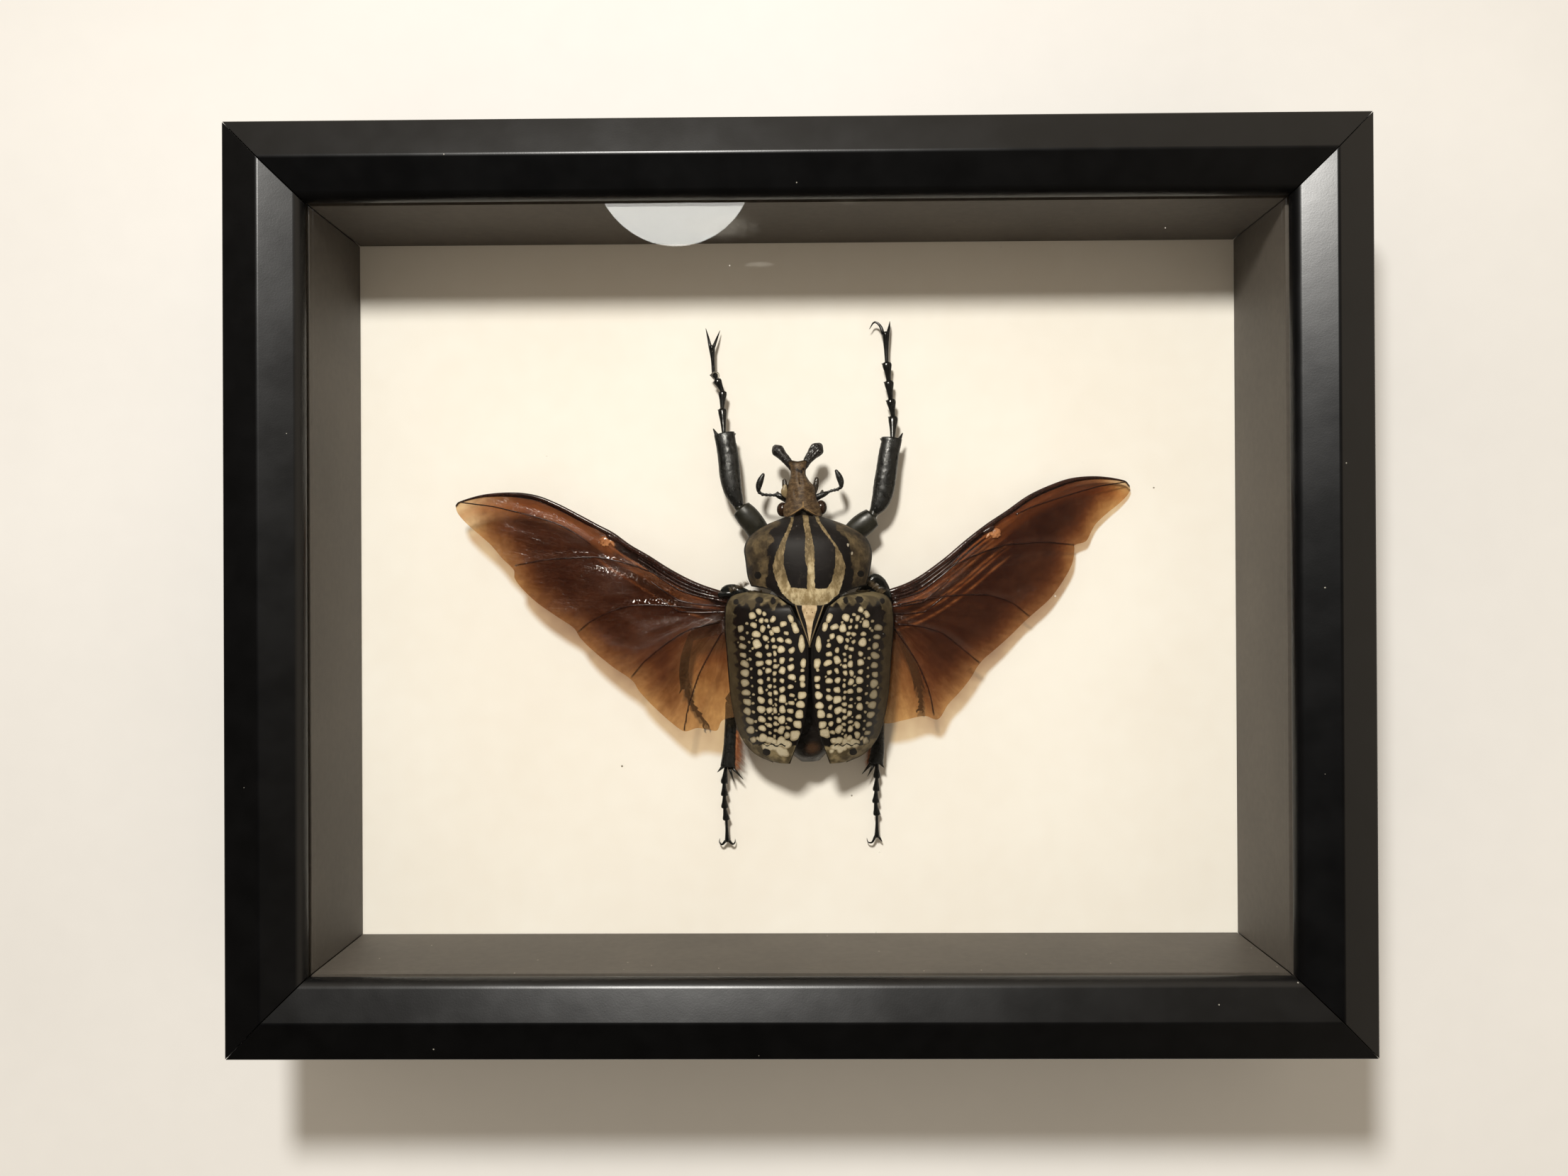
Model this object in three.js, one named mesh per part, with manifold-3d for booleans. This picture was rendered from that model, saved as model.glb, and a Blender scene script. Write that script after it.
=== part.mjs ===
// A goliath beetle with spread hind wings, mounted in a black glazed shadow box.
// The box lies on its back: the glass faces +Z, the beetle's head points to +Y,
// and the origin is the middle of the back. All sizes are in millimetres.

import * as THREE from 'three';
import { mergeVertices } from 'three/addons/utils/BufferGeometryUtils.js';
import Module from 'manifold-3d';

const wasm = await Module();
wasm.setup();

// Frame
const outerWidth = 279.4;
const outerHeight = 228.6;
const edgeTop = 48.4; // height of the outer edge
const ridgeTop = 50.8;
const ridgeInset = 9.6; // outer edge to the ridge
const railWidth = 19.05;
const railBody = 12.7; // width of the rail behind its lip
const lipTop = 47.7;
const lipBottom = 44.3;
const edgeRadius = 0.8;
const gap = 0.3; // clearance between pieces that touch

// Case
const glassThickness = 2;
const boardTop = 8.6; // face of the mount board, where the beetle lies
const mountThickness = 2.6;
const backTop = 5.7;
const backThickness = 2.7;
const spacerThickness = 6;

// Fixings
const pointThickness = 0.5;
const pointLength = 14;
const pointWidth = 8;
const hangerWidth = 44;
const hangerHeight = 9;
const hangerThickness = 0.8;
const hangerUp = 66; // hanger above the middle of the back

// Beetle
const axisX = 3; // the body's middle line, right of the middle of the frame
const skin = 1; // thickness of a wing case
const membrane = 0.4; // thickness of a hind wing

const colours = {
  paint: { color: 0x0b0b0c, roughness: 0.35, metalness: 0 },
  glass: { color: 0xeef4f4, roughness: 0.03, metalness: 0, opacity: 0.2, transparent: true },
  spacer: { color: 0x34302c, roughness: 0.8, metalness: 0 },
  mount: { color: 0xf4ecdb, roughness: 0.9, metalness: 0 },
  back: { color: 0x8a6a48, roughness: 0.85, metalness: 0 },
  steel: { color: 0x9a9a98, roughness: 0.4, metalness: 1 },
  shell: { color: 0x1a1712, roughness: 0.4, metalness: 0 },
  shield: { color: 0x5b5140, roughness: 0.5, metalness: 0 },
  head: { color: 0x6e5537, roughness: 0.5, metalness: 0 },
  leg: { color: 0x100f0f, roughness: 0.25, metalness: 0 },
  wing: { color: 0x5f2408, roughness: 0.3, metalness: 0 },
  glue: { color: 0xe8e4da, roughness: 0.1, metalness: 0, opacity: 0.5, transparent: true },
};

const model = new THREE.Group();

function addPiece(name, geometry, colour, position = [0, 0, 0], turn = 0) {
  const material = new THREE.MeshStandardMaterial(colours[colour]);
  const mesh = new THREE.Mesh(geometry, material);
  mesh.name = name;
  mesh.position.set(...position);
  mesh.rotation.z = turn;
  model.add(mesh);
}

// ---- Shared shapes ----

// Merges doubled points and drops the triangles that this leaves with no area.
function weld(geometry) {
  const bare = geometry.clone();
  bare.deleteAttribute('normal');
  bare.deleteAttribute('uv');
  const welded = mergeVertices(bare, 1e-4);
  const corners = welded.index.array;
  const kept = [];
  for (let i = 0; i < corners.length; i += 3) {
    const [a, b, c] = corners.slice(i, i + 3);
    if (a !== b && b !== c && c !== a) {
      kept.push(a, b, c);
    }
  }
  welded.setIndex(kept);
  return welded;
}

function volumeOf(geometry) {
  const points = geometry.attributes.position;
  const corners = geometry.index.array;
  const [a, b, c] = [new THREE.Vector3(), new THREE.Vector3(), new THREE.Vector3()];
  let volume = 0;
  for (let i = 0; i < corners.length; i += 3) {
    a.fromBufferAttribute(points, corners[i]);
    b.fromBufferAttribute(points, corners[i + 1]);
    c.fromBufferAttribute(points, corners[i + 2]);
    volume += a.dot(b.cross(c)) / 6;
  }
  return volume;
}

function solidOf(geometry) {
  const welded = weld(geometry);
  const vertProperties = new Float32Array(welded.attributes.position.array);
  const triVerts = new Uint32Array(welded.index.array);
  return new wasm.Manifold(new wasm.Mesh({ numProp: 3, vertProperties, triVerts }));
}

function geometryOf(solid) {
  const mesh = solid.getMesh();
  const geometry = new THREE.BufferGeometry();
  geometry.setAttribute('position', new THREE.BufferAttribute(mesh.vertProperties, 3));
  geometry.setIndex(new THREE.BufferAttribute(mesh.triVerts, 1));
  return geometry;
}

function joined(geometries) {
  return geometries.map(solidOf).reduce((whole, next) => whole.add(next));
}

// Moves every point of a geometry through a function of its place, and keeps the faces outward.
function moulded(geometry, place) {
  const shaped = weld(geometry);
  const points = shaped.attributes.position;
  const point = new THREE.Vector3();
  for (let i = 0; i < points.count; i += 1) {
    point.fromBufferAttribute(points, i);
    points.setXYZ(i, ...place(point));
  }
  if (volumeOf(shaped) < 0) {
    shaped.index.array.reverse();
  }
  return shaped;
}

// The head and pronotum lean a little to the left of the hind body's middle line.
function bodyAxis(y) {
  return stepsThrough([[-47, axisX], [-5, axisX + 0.3], [19, 2.05], [34, 0.5]])(y);
}

// A round body along Y from [half width, y] stations, squashed to its own heights.
function flattened(stations, sides, middle, up, down) {
  const profile = stations.map(([radius, y]) => new THREE.Vector2(radius, y));
  const widest = Math.max(...stations.map(([radius]) => radius));
  const round = new THREE.LatheGeometry(profile, sides);
  return moulded(round, ({ x, y, z }) => {
    const height = z > 0 ? up : down;
    return [bodyAxis(y) + x, y, boardTop + middle + (z * height) / widest];
  });
}

// A thin curved sheet: place(across, along) gives the top of it, for 0 to 1 each way.
function sheet(stepsAcross, stepsAlong, thickness, place) {
  const flat = new THREE.BoxGeometry(1, 1, 1, stepsAcross, stepsAlong, 1);
  return moulded(flat, (corner) => {
    const [x, y, z] = place(corner.x + 0.5, corner.y + 0.5);
    return [x, y, boardTop + z - (corner.z < 0 ? thickness : 0)];
  });
}

// A rounded limb between two points, [x, y, height above the board] each.
function limb(start, end, startRadius, endRadius, sides = 8) {
  const from = new THREE.Vector3(start[0], start[1], start[2] + boardTop);
  const to = new THREE.Vector3(end[0], end[1], end[2] + boardTop);
  const length = from.distanceTo(to);
  const profile = [
    new THREE.Vector2(0, -startRadius * 0.5),
    new THREE.Vector2(startRadius * 0.8, -startRadius * 0.25),
    new THREE.Vector2(startRadius, startRadius * 0.4),
    new THREE.Vector2(endRadius, length - endRadius * 0.4),
    new THREE.Vector2(endRadius * 0.8, length + endRadius * 0.25),
    new THREE.Vector2(0, length + endRadius * 0.5),
  ];
  const shape = new THREE.LatheGeometry(profile, sides);
  const along = to.sub(from).normalize();
  const turn = new THREE.Quaternion().setFromUnitVectors(new THREE.Vector3(0, 1, 0), along);
  return shape.applyQuaternion(turn).translate(from.x, from.y, from.z);
}

function lerp(a, b, t) {
  return a + (b - a) * t;
}

// Reads a smooth curve through [position, value] pairs.
function curveThrough(pairs) {
  const curve = new THREE.SplineCurve(pairs.map(([x, y]) => new THREE.Vector2(x, y)));
  return (t) => curve.getPoint(t);
}

// Reads straight steps between [position, value] pairs.
function stepsThrough(pairs) {
  return (at) => {
    const last = pairs.length - 1;
    const next = Math.max(1, pairs.findIndex(([position]) => position >= at));
    const [x0, y0] = pairs[next - 1];
    const [x1, y1] = pairs[next];
    const share = THREE.MathUtils.clamp((at - x0) / (x1 - x0), 0, 1);
    return at > pairs[last][0] ? pairs[last][1] : lerp(y0, y1, share);
  };
}

// ---- Frame ----

function railProfile() {
  const slope = (ridgeTop - edgeTop) / ridgeInset;
  const profile = new THREE.Shape();
  profile.moveTo(0, 0);
  profile.lineTo(railBody, 0);
  profile.lineTo(railBody, lipBottom);
  profile.lineTo(railWidth, lipBottom);
  profile.lineTo(railWidth, lipTop - edgeRadius);
  profile.quadraticCurveTo(railWidth, lipTop, railWidth - edgeRadius, lipTop + edgeRadius * 0.3);
  profile.lineTo(ridgeInset + edgeRadius, ridgeTop - edgeRadius * 0.3);
  const ridgeOutside = ridgeTop - edgeRadius * slope;
  profile.quadraticCurveTo(ridgeInset, ridgeTop, ridgeInset - edgeRadius, ridgeOutside);
  profile.lineTo(edgeRadius, edgeTop + edgeRadius * slope);
  profile.quadraticCurveTo(0, edgeTop, 0, edgeTop - edgeRadius);
  return profile;
}

// A rail along X at -Y, cut at 45 degrees at both ends.
function mitredRail(length, across) {
  const options = { depth: 2, steps: 1, bevelEnabled: false, curveSegments: 3 };
  const bar = new THREE.ExtrudeGeometry(railProfile(), options);
  return moulded(bar, ({ x: inset, y: height, z: end }) => {
    const reach = length / 2 - inset - gap / Math.SQRT2;
    return [(end - 1) * reach, inset - across / 2, height];
  });
}

function addFrame() {
  addPiece('rail_bottom', mitredRail(outerWidth, outerHeight), 'paint');
  addPiece('rail_right', mitredRail(outerHeight, outerWidth), 'paint', [0, 0, 0], Math.PI / 2);
  addPiece('rail_top', mitredRail(outerWidth, outerHeight), 'paint', [0, 0, 0], Math.PI);
  addPiece('rail_left', mitredRail(outerHeight, outerWidth), 'paint', [0, 0, 0], -Math.PI / 2);
}

// ---- Case ----

const caseWidth = outerWidth - 2 * (railBody + gap);
const caseHeight = outerHeight - 2 * (railBody + gap);

function board(bottom, thickness) {
  const plate = new THREE.BoxGeometry(caseWidth, caseHeight, thickness);
  return plate.translate(0, 0, bottom + thickness / 2);
}

function addCase() {
  const glassBottom = lipBottom - gap - glassThickness;
  addPiece('glass_pane', board(glassBottom, glassThickness), 'glass');
  addPiece('mount_board', board(boardTop - mountThickness, mountThickness), 'mount');
  addPiece('back_board', board(backTop - backThickness, backThickness), 'back');
  const spacerBottom = boardTop + gap;
  const spacerHeight = glassBottom - gap - spacerBottom;
  const strip = (length, across) => {
    const box = new THREE.BoxGeometry(2, spacerThickness, spacerHeight);
    return moulded(box, ({ x: end, y, z }) => {
      const inset = y + spacerThickness / 2;
      const reach = length / 2 - inset - gap / Math.SQRT2;
      return [end * reach, inset - across / 2, spacerBottom + z + spacerHeight / 2];
    });
  };
  addPiece('spacer_bottom', strip(caseWidth, caseHeight), 'spacer');
  addPiece('spacer_right', strip(caseHeight, caseWidth), 'spacer', [0, 0, 0], Math.PI / 2);
  addPiece('spacer_top', strip(caseWidth, caseHeight), 'spacer', [0, 0, 0], Math.PI);
  addPiece('spacer_left', strip(caseHeight, caseWidth), 'spacer', [0, 0, 0], -Math.PI / 2);
}

// ---- Fixings on the back ----

function glazierPoint() {
  const outline = new THREE.Shape();
  outline.moveTo(0, -pointWidth / 2);
  outline.lineTo(pointLength * 0.6, -pointWidth / 2);
  outline.quadraticCurveTo(pointLength, -pointWidth / 2, pointLength, 0);
  outline.quadraticCurveTo(pointLength, pointWidth / 2, pointLength * 0.6, pointWidth / 2);
  outline.lineTo(0, pointWidth / 2);
  const options = { depth: pointThickness, bevelEnabled: false, curveSegments: 4 };
  return new THREE.ExtrudeGeometry(outline, options);
}

function sawtoothHanger() {
  const teeth = 9;
  const ear = 7; // flat end that is nailed down
  const toothWidth = (hangerWidth - 2 * ear) / teeth;
  const outline = new THREE.Shape();
  outline.moveTo(-hangerWidth / 2, hangerHeight / 2);
  outline.lineTo(-hangerWidth / 2, -hangerHeight / 2);
  outline.lineTo(-hangerWidth / 2 + ear, -hangerHeight / 2);
  for (let i = 0; i < teeth; i += 1) {
    const left = -hangerWidth / 2 + ear + i * toothWidth;
    outline.lineTo(left + toothWidth / 2, -hangerHeight / 2 + 1.8);
    outline.lineTo(left + toothWidth, -hangerHeight / 2);
  }
  outline.lineTo(hangerWidth / 2, -hangerHeight / 2);
  outline.lineTo(hangerWidth / 2, hangerHeight / 2);
  const options = { depth: hangerThickness, bevelEnabled: false };
  const parts = [new THREE.ExtrudeGeometry(outline, options)];
  for (const side of [-1, 1]) {
    const x = (side * (hangerWidth - ear)) / 2;
    const foot = new THREE.BoxGeometry(ear - 1, hangerHeight - 1, 1);
    parts.push(foot.translate(x, 0, hangerThickness + 0.3));
    const head = new THREE.CylinderGeometry(1.6, 1.6, 1, 12).rotateX(Math.PI / 2);
    parts.push(head.translate(x, 0, 0));
  }
  return geometryOf(joined(parts));
}

function addFixings() {
  const backOfBoard = backTop - backThickness;
  const z = backOfBoard - gap - pointThickness;
  const x = caseWidth / 2;
  const y = caseHeight / 2;
  const third = caseWidth * 0.3;
  const places = {
    point_left: [-x, 0, 0],
    point_right: [x, 0, Math.PI],
    point_bottom_left: [-third, -y, Math.PI / 2],
    point_bottom_right: [third, -y, Math.PI / 2],
    point_top_left: [-third, y, -Math.PI / 2],
    point_top_right: [third, y, -Math.PI / 2],
  };
  for (const [name, [left, up, turn]] of Object.entries(places)) {
    addPiece(name, glazierPoint(), 'steel', [left, up, z], turn);
  }
  const hangerZ = backOfBoard - gap - hangerThickness - 0.8;
  addPiece('sawtooth_hanger', sawtoothHanger(), 'steel', [0, hangerUp, hangerZ]);
}

// ---- Beetle: body ----

const pronotumStations = [
  [0, 19],
  [4.7, 19],
  [10.5, 16.6],
  [15, 13.8],
  [16.8, 10.8],
  [16.6, 5.5],
  [15.4, 0.6],
  [11, -0.3],
  [7.8, -2.2],
  [3.7, -4.9],
  [0, -4.9],
];

function pronotumShape(grow = 0) {
  const stations = pronotumStations.map(([radius, y]) => {
    const outward = y > 5 ? grow : -grow;
    return [radius === 0 ? 0 : radius + grow, y + outward];
  });
  return flattened(stations, 28, 13, 12 + grow, 10 + grow);
}

// Height of the wing cases' middle line and of their outer margin, by place along the body.
const caseCrown = stepsThrough([
  [-46.5, 14.5], [-42, 18], [-34, 22.5], [-22, 25.4], [-8, 26], [-4, 24.5], [-1, 19],
]);
const caseEdge = stepsThrough([[-46.5, 12], [-38, 11.5], [-5, 12.5], [-1, 14.5]]);

const trunkStations = [
  [0, -2],
  [11, -2],
  [15.5, -5],
  [17, -14],
  [17, -26],
  [14, -35],
  [8.5, -42],
  [4, -45.2],
  [0, -45.8],
];

// The trunk without its scutellum, and with the black shoulder plates beside the wing roots.
function trunkBody(grow = 0) {
  const stations = trunkStations.map(([radius, y]) => {
    const outward = y > -5 ? grow : -grow;
    return [radius === 0 ? 0 : radius + grow, y + outward];
  });
  return joined([
    flattened(stations, 28, 9, 12 + grow, 8.6),
    limb([axisX - 14, -4, 9.5], [axisX - 20, 0, 11], 4 + grow, 2.2 + grow),
    limb([axisX + 14, -4, 9.5], [axisX + 19.6, 2, 11], 4 + grow, 2.2 + grow),
  ]);
}

function trunkShape() {
  const scutellum = new THREE.Shape();
  scutellum.moveTo(-3.6, -5.6);
  scutellum.lineTo(0, -15.2);
  scutellum.lineTo(3.6, -5.6);
  const options = { depth: 6, bevelEnabled: false };
  const plate = new THREE.ExtrudeGeometry(scutellum, options).translate(axisX, 0, boardTop + 19.2);
  return trunkBody().add(solidOf(plate)).subtract(solidOf(pronotumShape(gap)));
}

const seamLine = [
  [5.5, -46.2], [3.8, -42.1], [1.9, -36.2], [0.7, -29], [0.4, -22], [0.4, -15.6],
  [2.4, -10], [5.2, -4.6],
];
const rimLine = [
  [9.8, -45.9], [15.9, -42.1], [19.2, -35], [21, -27], [21.9, -18], [22.6, -8], [21, -2.2],
  [14.4, -0.5],
];

function wingCase(side) {
  const seam = curveThrough(seamLine);
  const rim = curveThrough(rimLine);
  return sheet(8, 14, skin, (across, along) => {
    const inner = seam(along);
    const outer = rim(along);
    const x = lerp(inner.x, outer.x, across);
    const y = lerp(inner.y, outer.y, across);
    return [axisX + side * x, y, lerp(caseCrown(y), caseEdge(y), across ** 3)];
  });
}

// ---- Beetle: head ----

function horn(side) {
  const middle = bodyAxis(34);
  const root = [middle + side * 1.3, 32.6, 11];
  const bend = [middle + side * 3.2, 35, 9.8];
  const tip = [middle + side * 5.3, 37, 8.8];
  return [limb(root, bend, 1.1, 1.1), limb(bend, tip, 1.2, 1.9)];
}

function headShape() {
  const crown = flattened(
    [
      [0, 34], [2.1, 34], [2.4, 31.6], [2.3, 30], [4.2, 27.4], [4.1, 25.4], [5.4, 22.5],
      [5.3, 19.3], [0, 19.3],
    ],
    20,
    10,
    3.6,
    4,
  );
  const whole = joined([crown, ...horn(-1), ...horn(1)]);
  return whole.subtract(solidOf(pronotumShape(gap)));
}

function antenna(points, clubLength) {
  const last = points.length - 1;
  const parts = points.slice(1).map((point, i) => limb(points[i], point, 0.42, 0.42, 6));
  const direction = new THREE.Vector3(...clubLength);
  const club = new THREE.Vector3(...points[last]).add(direction).toArray();
  return geometryOf(joined([...parts, limb(points[last], club, 0.6, 0.8, 6)]));
}

// ---- Beetle: limbs ----

// A leg: femur, tibia, five foot joints and two claws.
function leg({ hip, knee, ankle, foot, claws, thick }) {
  const parts = [limb(hip, knee, thick, thick * 0.95), limb(knee, ankle, thick * 0.72, thick * 0.95)];
  const stops = [ankle, ...foot];
  for (let i = 1; i < stops.length; i += 1) {
    parts.push(limb(stops[i - 1], stops[i], 0.55, 0.85, 6));
  }
  const end = stops[stops.length - 1];
  for (const claw of claws) {
    parts.push(limb(end, claw, 0.5, 0.3, 6));
  }
  return joined(parts);
}

const legs = {
  foreleg_left: {
    hip: [-7.5, 10.5, 6.5],
    knee: [-15.4, 20.6, 7.6],
    ankle: [-19.8, 42.4, 6],
    foot: [
      [-20, 48.9, 4], [-19.8, 53.1, 3.6], [-20.9, 56.2, 3.4], [-21.9, 58.9, 3.2],
      [-22.4, 66.8, 2.8],
    ],
    claws: [[-24.2, 71.5, 1.6], [-20.7, 70.8, 1.6]],
    thick: 2.7,
  },
  foreleg_right: {
    hip: [13.4, 11, 6.5],
    knee: [21, 19.6, 7.6],
    ankle: [26.6, 40.2, 6],
    foot: [
      [26.4, 46.3, 4], [26.2, 51, 3.6], [25.7, 56.2, 3.4], [25.3, 61.7, 3.2],
      [25.4, 68.6, 2.8],
    ],
    claws: [[22, 72.2, 2.2], [26.2, 72.8, 2]],
    thick: 2.7,
  },
  midleg_left: {
    hip: [-10, -8, 5],
    knee: [-28, -12.6, 5],
    ankle: [-30.4, -27, 4],
    foot: [
      [-30, -29.4, 3], [-29.1, -31.4, 2.8], [-28, -33.2, 2.6], [-26.8, -34.8, 2.4],
      [-25.4, -36.2, 2.2],
    ],
    claws: [[-24.2, -37.4, 1.4], [-26, -37.8, 1.4]],
    thick: 1.9,
  },
  midleg_right: {
    hip: [16, -8, 4.6],
    knee: [27.6, -13, 4.4],
    ankle: [33, -26.6, 3.4],
    foot: [
      [33.4, -28.4, 2.8], [33.6, -30, 2.6], [33.8, -31.4, 2.4], [33.8, -32.6, 2.2],
      [33.8, -34, 2],
    ],
    claws: [[32.9, -35.2, 1.4], [34.8, -35.2, 1.4]],
    thick: 1.6,
  },
  hindleg_left: {
    hip: [-9, -22, 3.6],
    knee: [-18.6, -31.4, 5],
    ankle: [-19.4, -49.4, 4.2],
    foot: [
      [-20.1, -53.2, 3.2], [-20.1, -56.7, 3], [-20, -60, 2.8], [-19.5, -63.4, 2.6],
      [-19.4, -69.4, 2.2],
    ],
    claws: [[-21.3, -70.3, 1.2], [-17.4, -70.3, 1.2]],
    thick: 2,
  },
  hindleg_right: {
    hip: [15, -22, 3.6],
    knee: [23.2, -31.4, 5],
    ankle: [21.6, -48.2, 4.2],
    foot: [
      [21.6, -51.8, 3.2], [21.4, -55.5, 3], [21.3, -58.8, 2.8], [21.6, -62.1, 2.6],
      [21.6, -68.2, 2.2],
    ],
    claws: [[19.6, -69.8, 1.2], [22.8, -69.6, 1.2]],
    thick: 2,
  },
};

// ---- Beetle: hind wings ----

const wingOutlines = {
  hindwing_left: {
    front: [
      [-18.6, -2], [-28.9, 2.1], [-39.8, 8.6], [-49.1, 14.7], [-58.4, 19.7], [-64.2, 22.7],
      [-76.4, 25.7], [-84, 25.3], [-91, 23],
    ],
    rear: [
      [-18.6, -35], [-30.2, -38], [-42.1, -27.5], [-54, -17], [-64.4, -7.2], [-73.3, 0],
      [-78.7, 8.2], [-84, 13.6], [-91.4, 21.6],
    ],
    rootHeight: 10.6,
    tipHeight: 10.4,
  },
  hindwing_right: {
    front: [
      [21.6, -2], [34.1, 3.3], [46.2, 12.7], [57.1, 20.4], [63, 24.5], [69.2, 27.4],
      [75.4, 29.4], [82.6, 30], [90.6, 28.2],
    ],
    rear: [
      [24.2, -35], [37.8, -35.3], [46.6, -24.8], [56, -15], [65.6, -6.1], [72.4, 1.6],
      [76, 10.6], [81.9, 17.2], [91.4, 26.4],
    ],
    rootHeight: 8.6,
    tipHeight: 1.6,
  },
};

function hindWing({ front, rear, rootHeight, tipHeight }) {
  const leading = curveThrough(front);
  const trailing = curveThrough(rear);
  return sheet(4, 14, membrane, (across, along) => {
    const ahead = leading(along);
    const behind = trailing(along);
    const height = lerp(rootHeight, tipHeight, along);
    return [lerp(ahead.x, behind.x, across), lerp(ahead.y, behind.y, across), height];
  });
}

// ---- Beetle: assembly ----

function addBeetle() {
  addPiece('pronotum', pronotumShape(), 'shield');
  addPiece('trunk', geometryOf(trunkShape()), 'shell');
  addPiece('head', geometryOf(headShape()), 'head');
  addPiece('elytron_left', wingCase(-1), 'shell');
  addPiece('elytron_right', wingCase(1), 'shell');
  const feelerLeft = [[-3.4, 24.6, 9], [-7.4, 25.4, 9], [-9.9, 26.2, 8.8], [-10.2, 27.6, 8.6]];
  const feelerRight = [[6.2, 24.6, 9], [8.2, 25.6, 9], [11.6, 26.9, 8.8], [12.2, 28.2, 8.6]];
  addPiece('antenna_left', antenna(feelerLeft, [1.4, 3, 0]), 'leg');
  addPiece('antenna_right', antenna(feelerRight, [-1.1, 3.2, 0]), 'leg');
  const neighbours = trunkBody(gap).add(solidOf(pronotumShape(gap)));
  for (const [name, sizes] of Object.entries(legs)) {
    addPiece(name, geometryOf(leg(sizes).subtract(neighbours)), 'leg');
  }
  for (const [name, sizes] of Object.entries(wingOutlines)) {
    addPiece(name, geometryOf(solidOf(hindWing(sizes)).subtract(neighbours)), 'wing');
  }
  const ring = new THREE.TorusGeometry(1.5, 0.25, 8, 18);
  addPiece('glue_ring', ring, 'glue', [-21.8, 58.1, boardTop + 4.8]);
}

addFrame();
addCase();
addFixings();
addBeetle();

export default model;
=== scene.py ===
# A goliath beetle with spread wings in a black glazed shadow box, lying on a pale table top.
import math
import random
import bmesh
import bpy
import numpy as np
from mathutils import Matrix, Vector, noise


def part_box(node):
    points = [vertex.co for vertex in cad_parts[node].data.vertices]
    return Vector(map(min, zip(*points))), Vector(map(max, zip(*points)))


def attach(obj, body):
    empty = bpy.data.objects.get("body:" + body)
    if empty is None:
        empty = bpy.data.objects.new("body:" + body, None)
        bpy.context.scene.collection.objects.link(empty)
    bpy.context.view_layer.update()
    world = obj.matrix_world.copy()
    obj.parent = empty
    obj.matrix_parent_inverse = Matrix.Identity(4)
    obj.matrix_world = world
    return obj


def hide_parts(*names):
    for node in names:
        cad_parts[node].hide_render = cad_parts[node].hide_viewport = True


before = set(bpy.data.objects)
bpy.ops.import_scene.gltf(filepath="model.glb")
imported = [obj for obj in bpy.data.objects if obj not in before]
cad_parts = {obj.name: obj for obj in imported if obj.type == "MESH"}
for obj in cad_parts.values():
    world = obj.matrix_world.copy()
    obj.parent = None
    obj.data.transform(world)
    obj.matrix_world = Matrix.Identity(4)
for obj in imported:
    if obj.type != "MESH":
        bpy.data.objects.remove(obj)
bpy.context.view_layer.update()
mm = 0.001
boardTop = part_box("mount_board")[1].z / mm  # the beetle's heights are counted from this face
print("stage: frame loaded")


# small helpers for colours, nodes and meshes

def paint(red, green, blue):  # 0-255 screen colour to a shader colour
    return tuple(((c / 255 + 0.055) / 1.055) ** 2.4 for c in (red, green, blue)) + (1.0,)


def addNode(tree, kind, inputs=None, **settings):
    made = tree.nodes.new("ShaderNode" + kind)
    for key, value in settings.items():
        setattr(made, key, value)
    for key, value in (inputs or {}).items():
        if isinstance(value, bpy.types.NodeSocket):
            tree.links.new(value, made.inputs[key])
        else:
            made.inputs[key].default_value = value
    return made


def calc(tree, operation, first, second=0.0, clamp=False):
    made = addNode(tree, "Math", {0: first, 1: second}, operation=operation, use_clamp=clamp)
    return made.outputs[0]


def weigh(tree, first, share, second, rest):  # two values added, each times its own weight
    return calc(tree, "ADD", calc(tree, "MULTIPLY", first, share), calc(tree, "MULTIPLY", second, rest))


def blend(tree, factor, low, high):  # two colours mixed by a factor
    return addNode(tree, "Mix", {0: factor, 6: low, 7: high}, data_type="RGBA").outputs[2]


def stepUp(tree, value, low, high, start=0.0, end=1.0):  # a smooth step from low to high
    names = {"Value": value, "From Min": low, "From Max": high, "To Min": start, "To Max": end}
    return addNode(tree, "MapRange", names, interpolation_type="SMOOTHSTEP").outputs[0]


def ramp(tree, value, stops):  # a colour ramp with (place, colour) stops
    made = addNode(tree, "ValToRGB", {0: value})
    bar = made.color_ramp
    while len(bar.elements) < len(stops):
        bar.elements.new(0.5)
    for element, (at, colour) in zip(bar.elements, stops):
        element.position = at
        element.color = colour
    return made.outputs[0]


# noise with features about size mm across
def cloud(tree, place, size, detail=3.0, rough=0.5, twist=0.0):
    names = {"Vector": place, "Scale": 1 / size, "Detail": detail, "Roughness": rough,
             "Distortion": twist}
    return addNode(tree, "TexNoise", names).outputs[0]


def inMillimetres(tree, centre=(0, 0, 0), stretch=(1, 1, 1), turn=0.0):  # the piece's own coordinates
    where = addNode(tree, "TexCoord").outputs["Object"]
    scale = tuple(s / mm for s in stretch)
    move = tuple(-c * s for c, s in zip(centre, stretch))
    names = {"Vector": where, "Location": move, "Rotation": (0, 0, turn), "Scale": scale}
    return addNode(tree, "Mapping", names).outputs[0]


def field(tree, name):  # a number that the mesh carries at each point
    return addNode(tree, "Attribute", attribute_name=name).outputs["Fac"]


def bump(tree, height, depth, strength=1.0):  # depth in mm
    return addNode(tree, "Bump", {"Height": height, "Distance": depth * mm,
                                  "Strength": strength}).outputs[0]


def newMaterial(name, **plain):
    made = bpy.data.materials.new(name)
    made.use_nodes = True
    tree = made.node_tree
    shader = tree.nodes["Principled BSDF"]
    for key, value in plain.items():
        shader.inputs[key.replace("_", " ")].default_value = value
    return made, tree, shader.inputs


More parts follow.
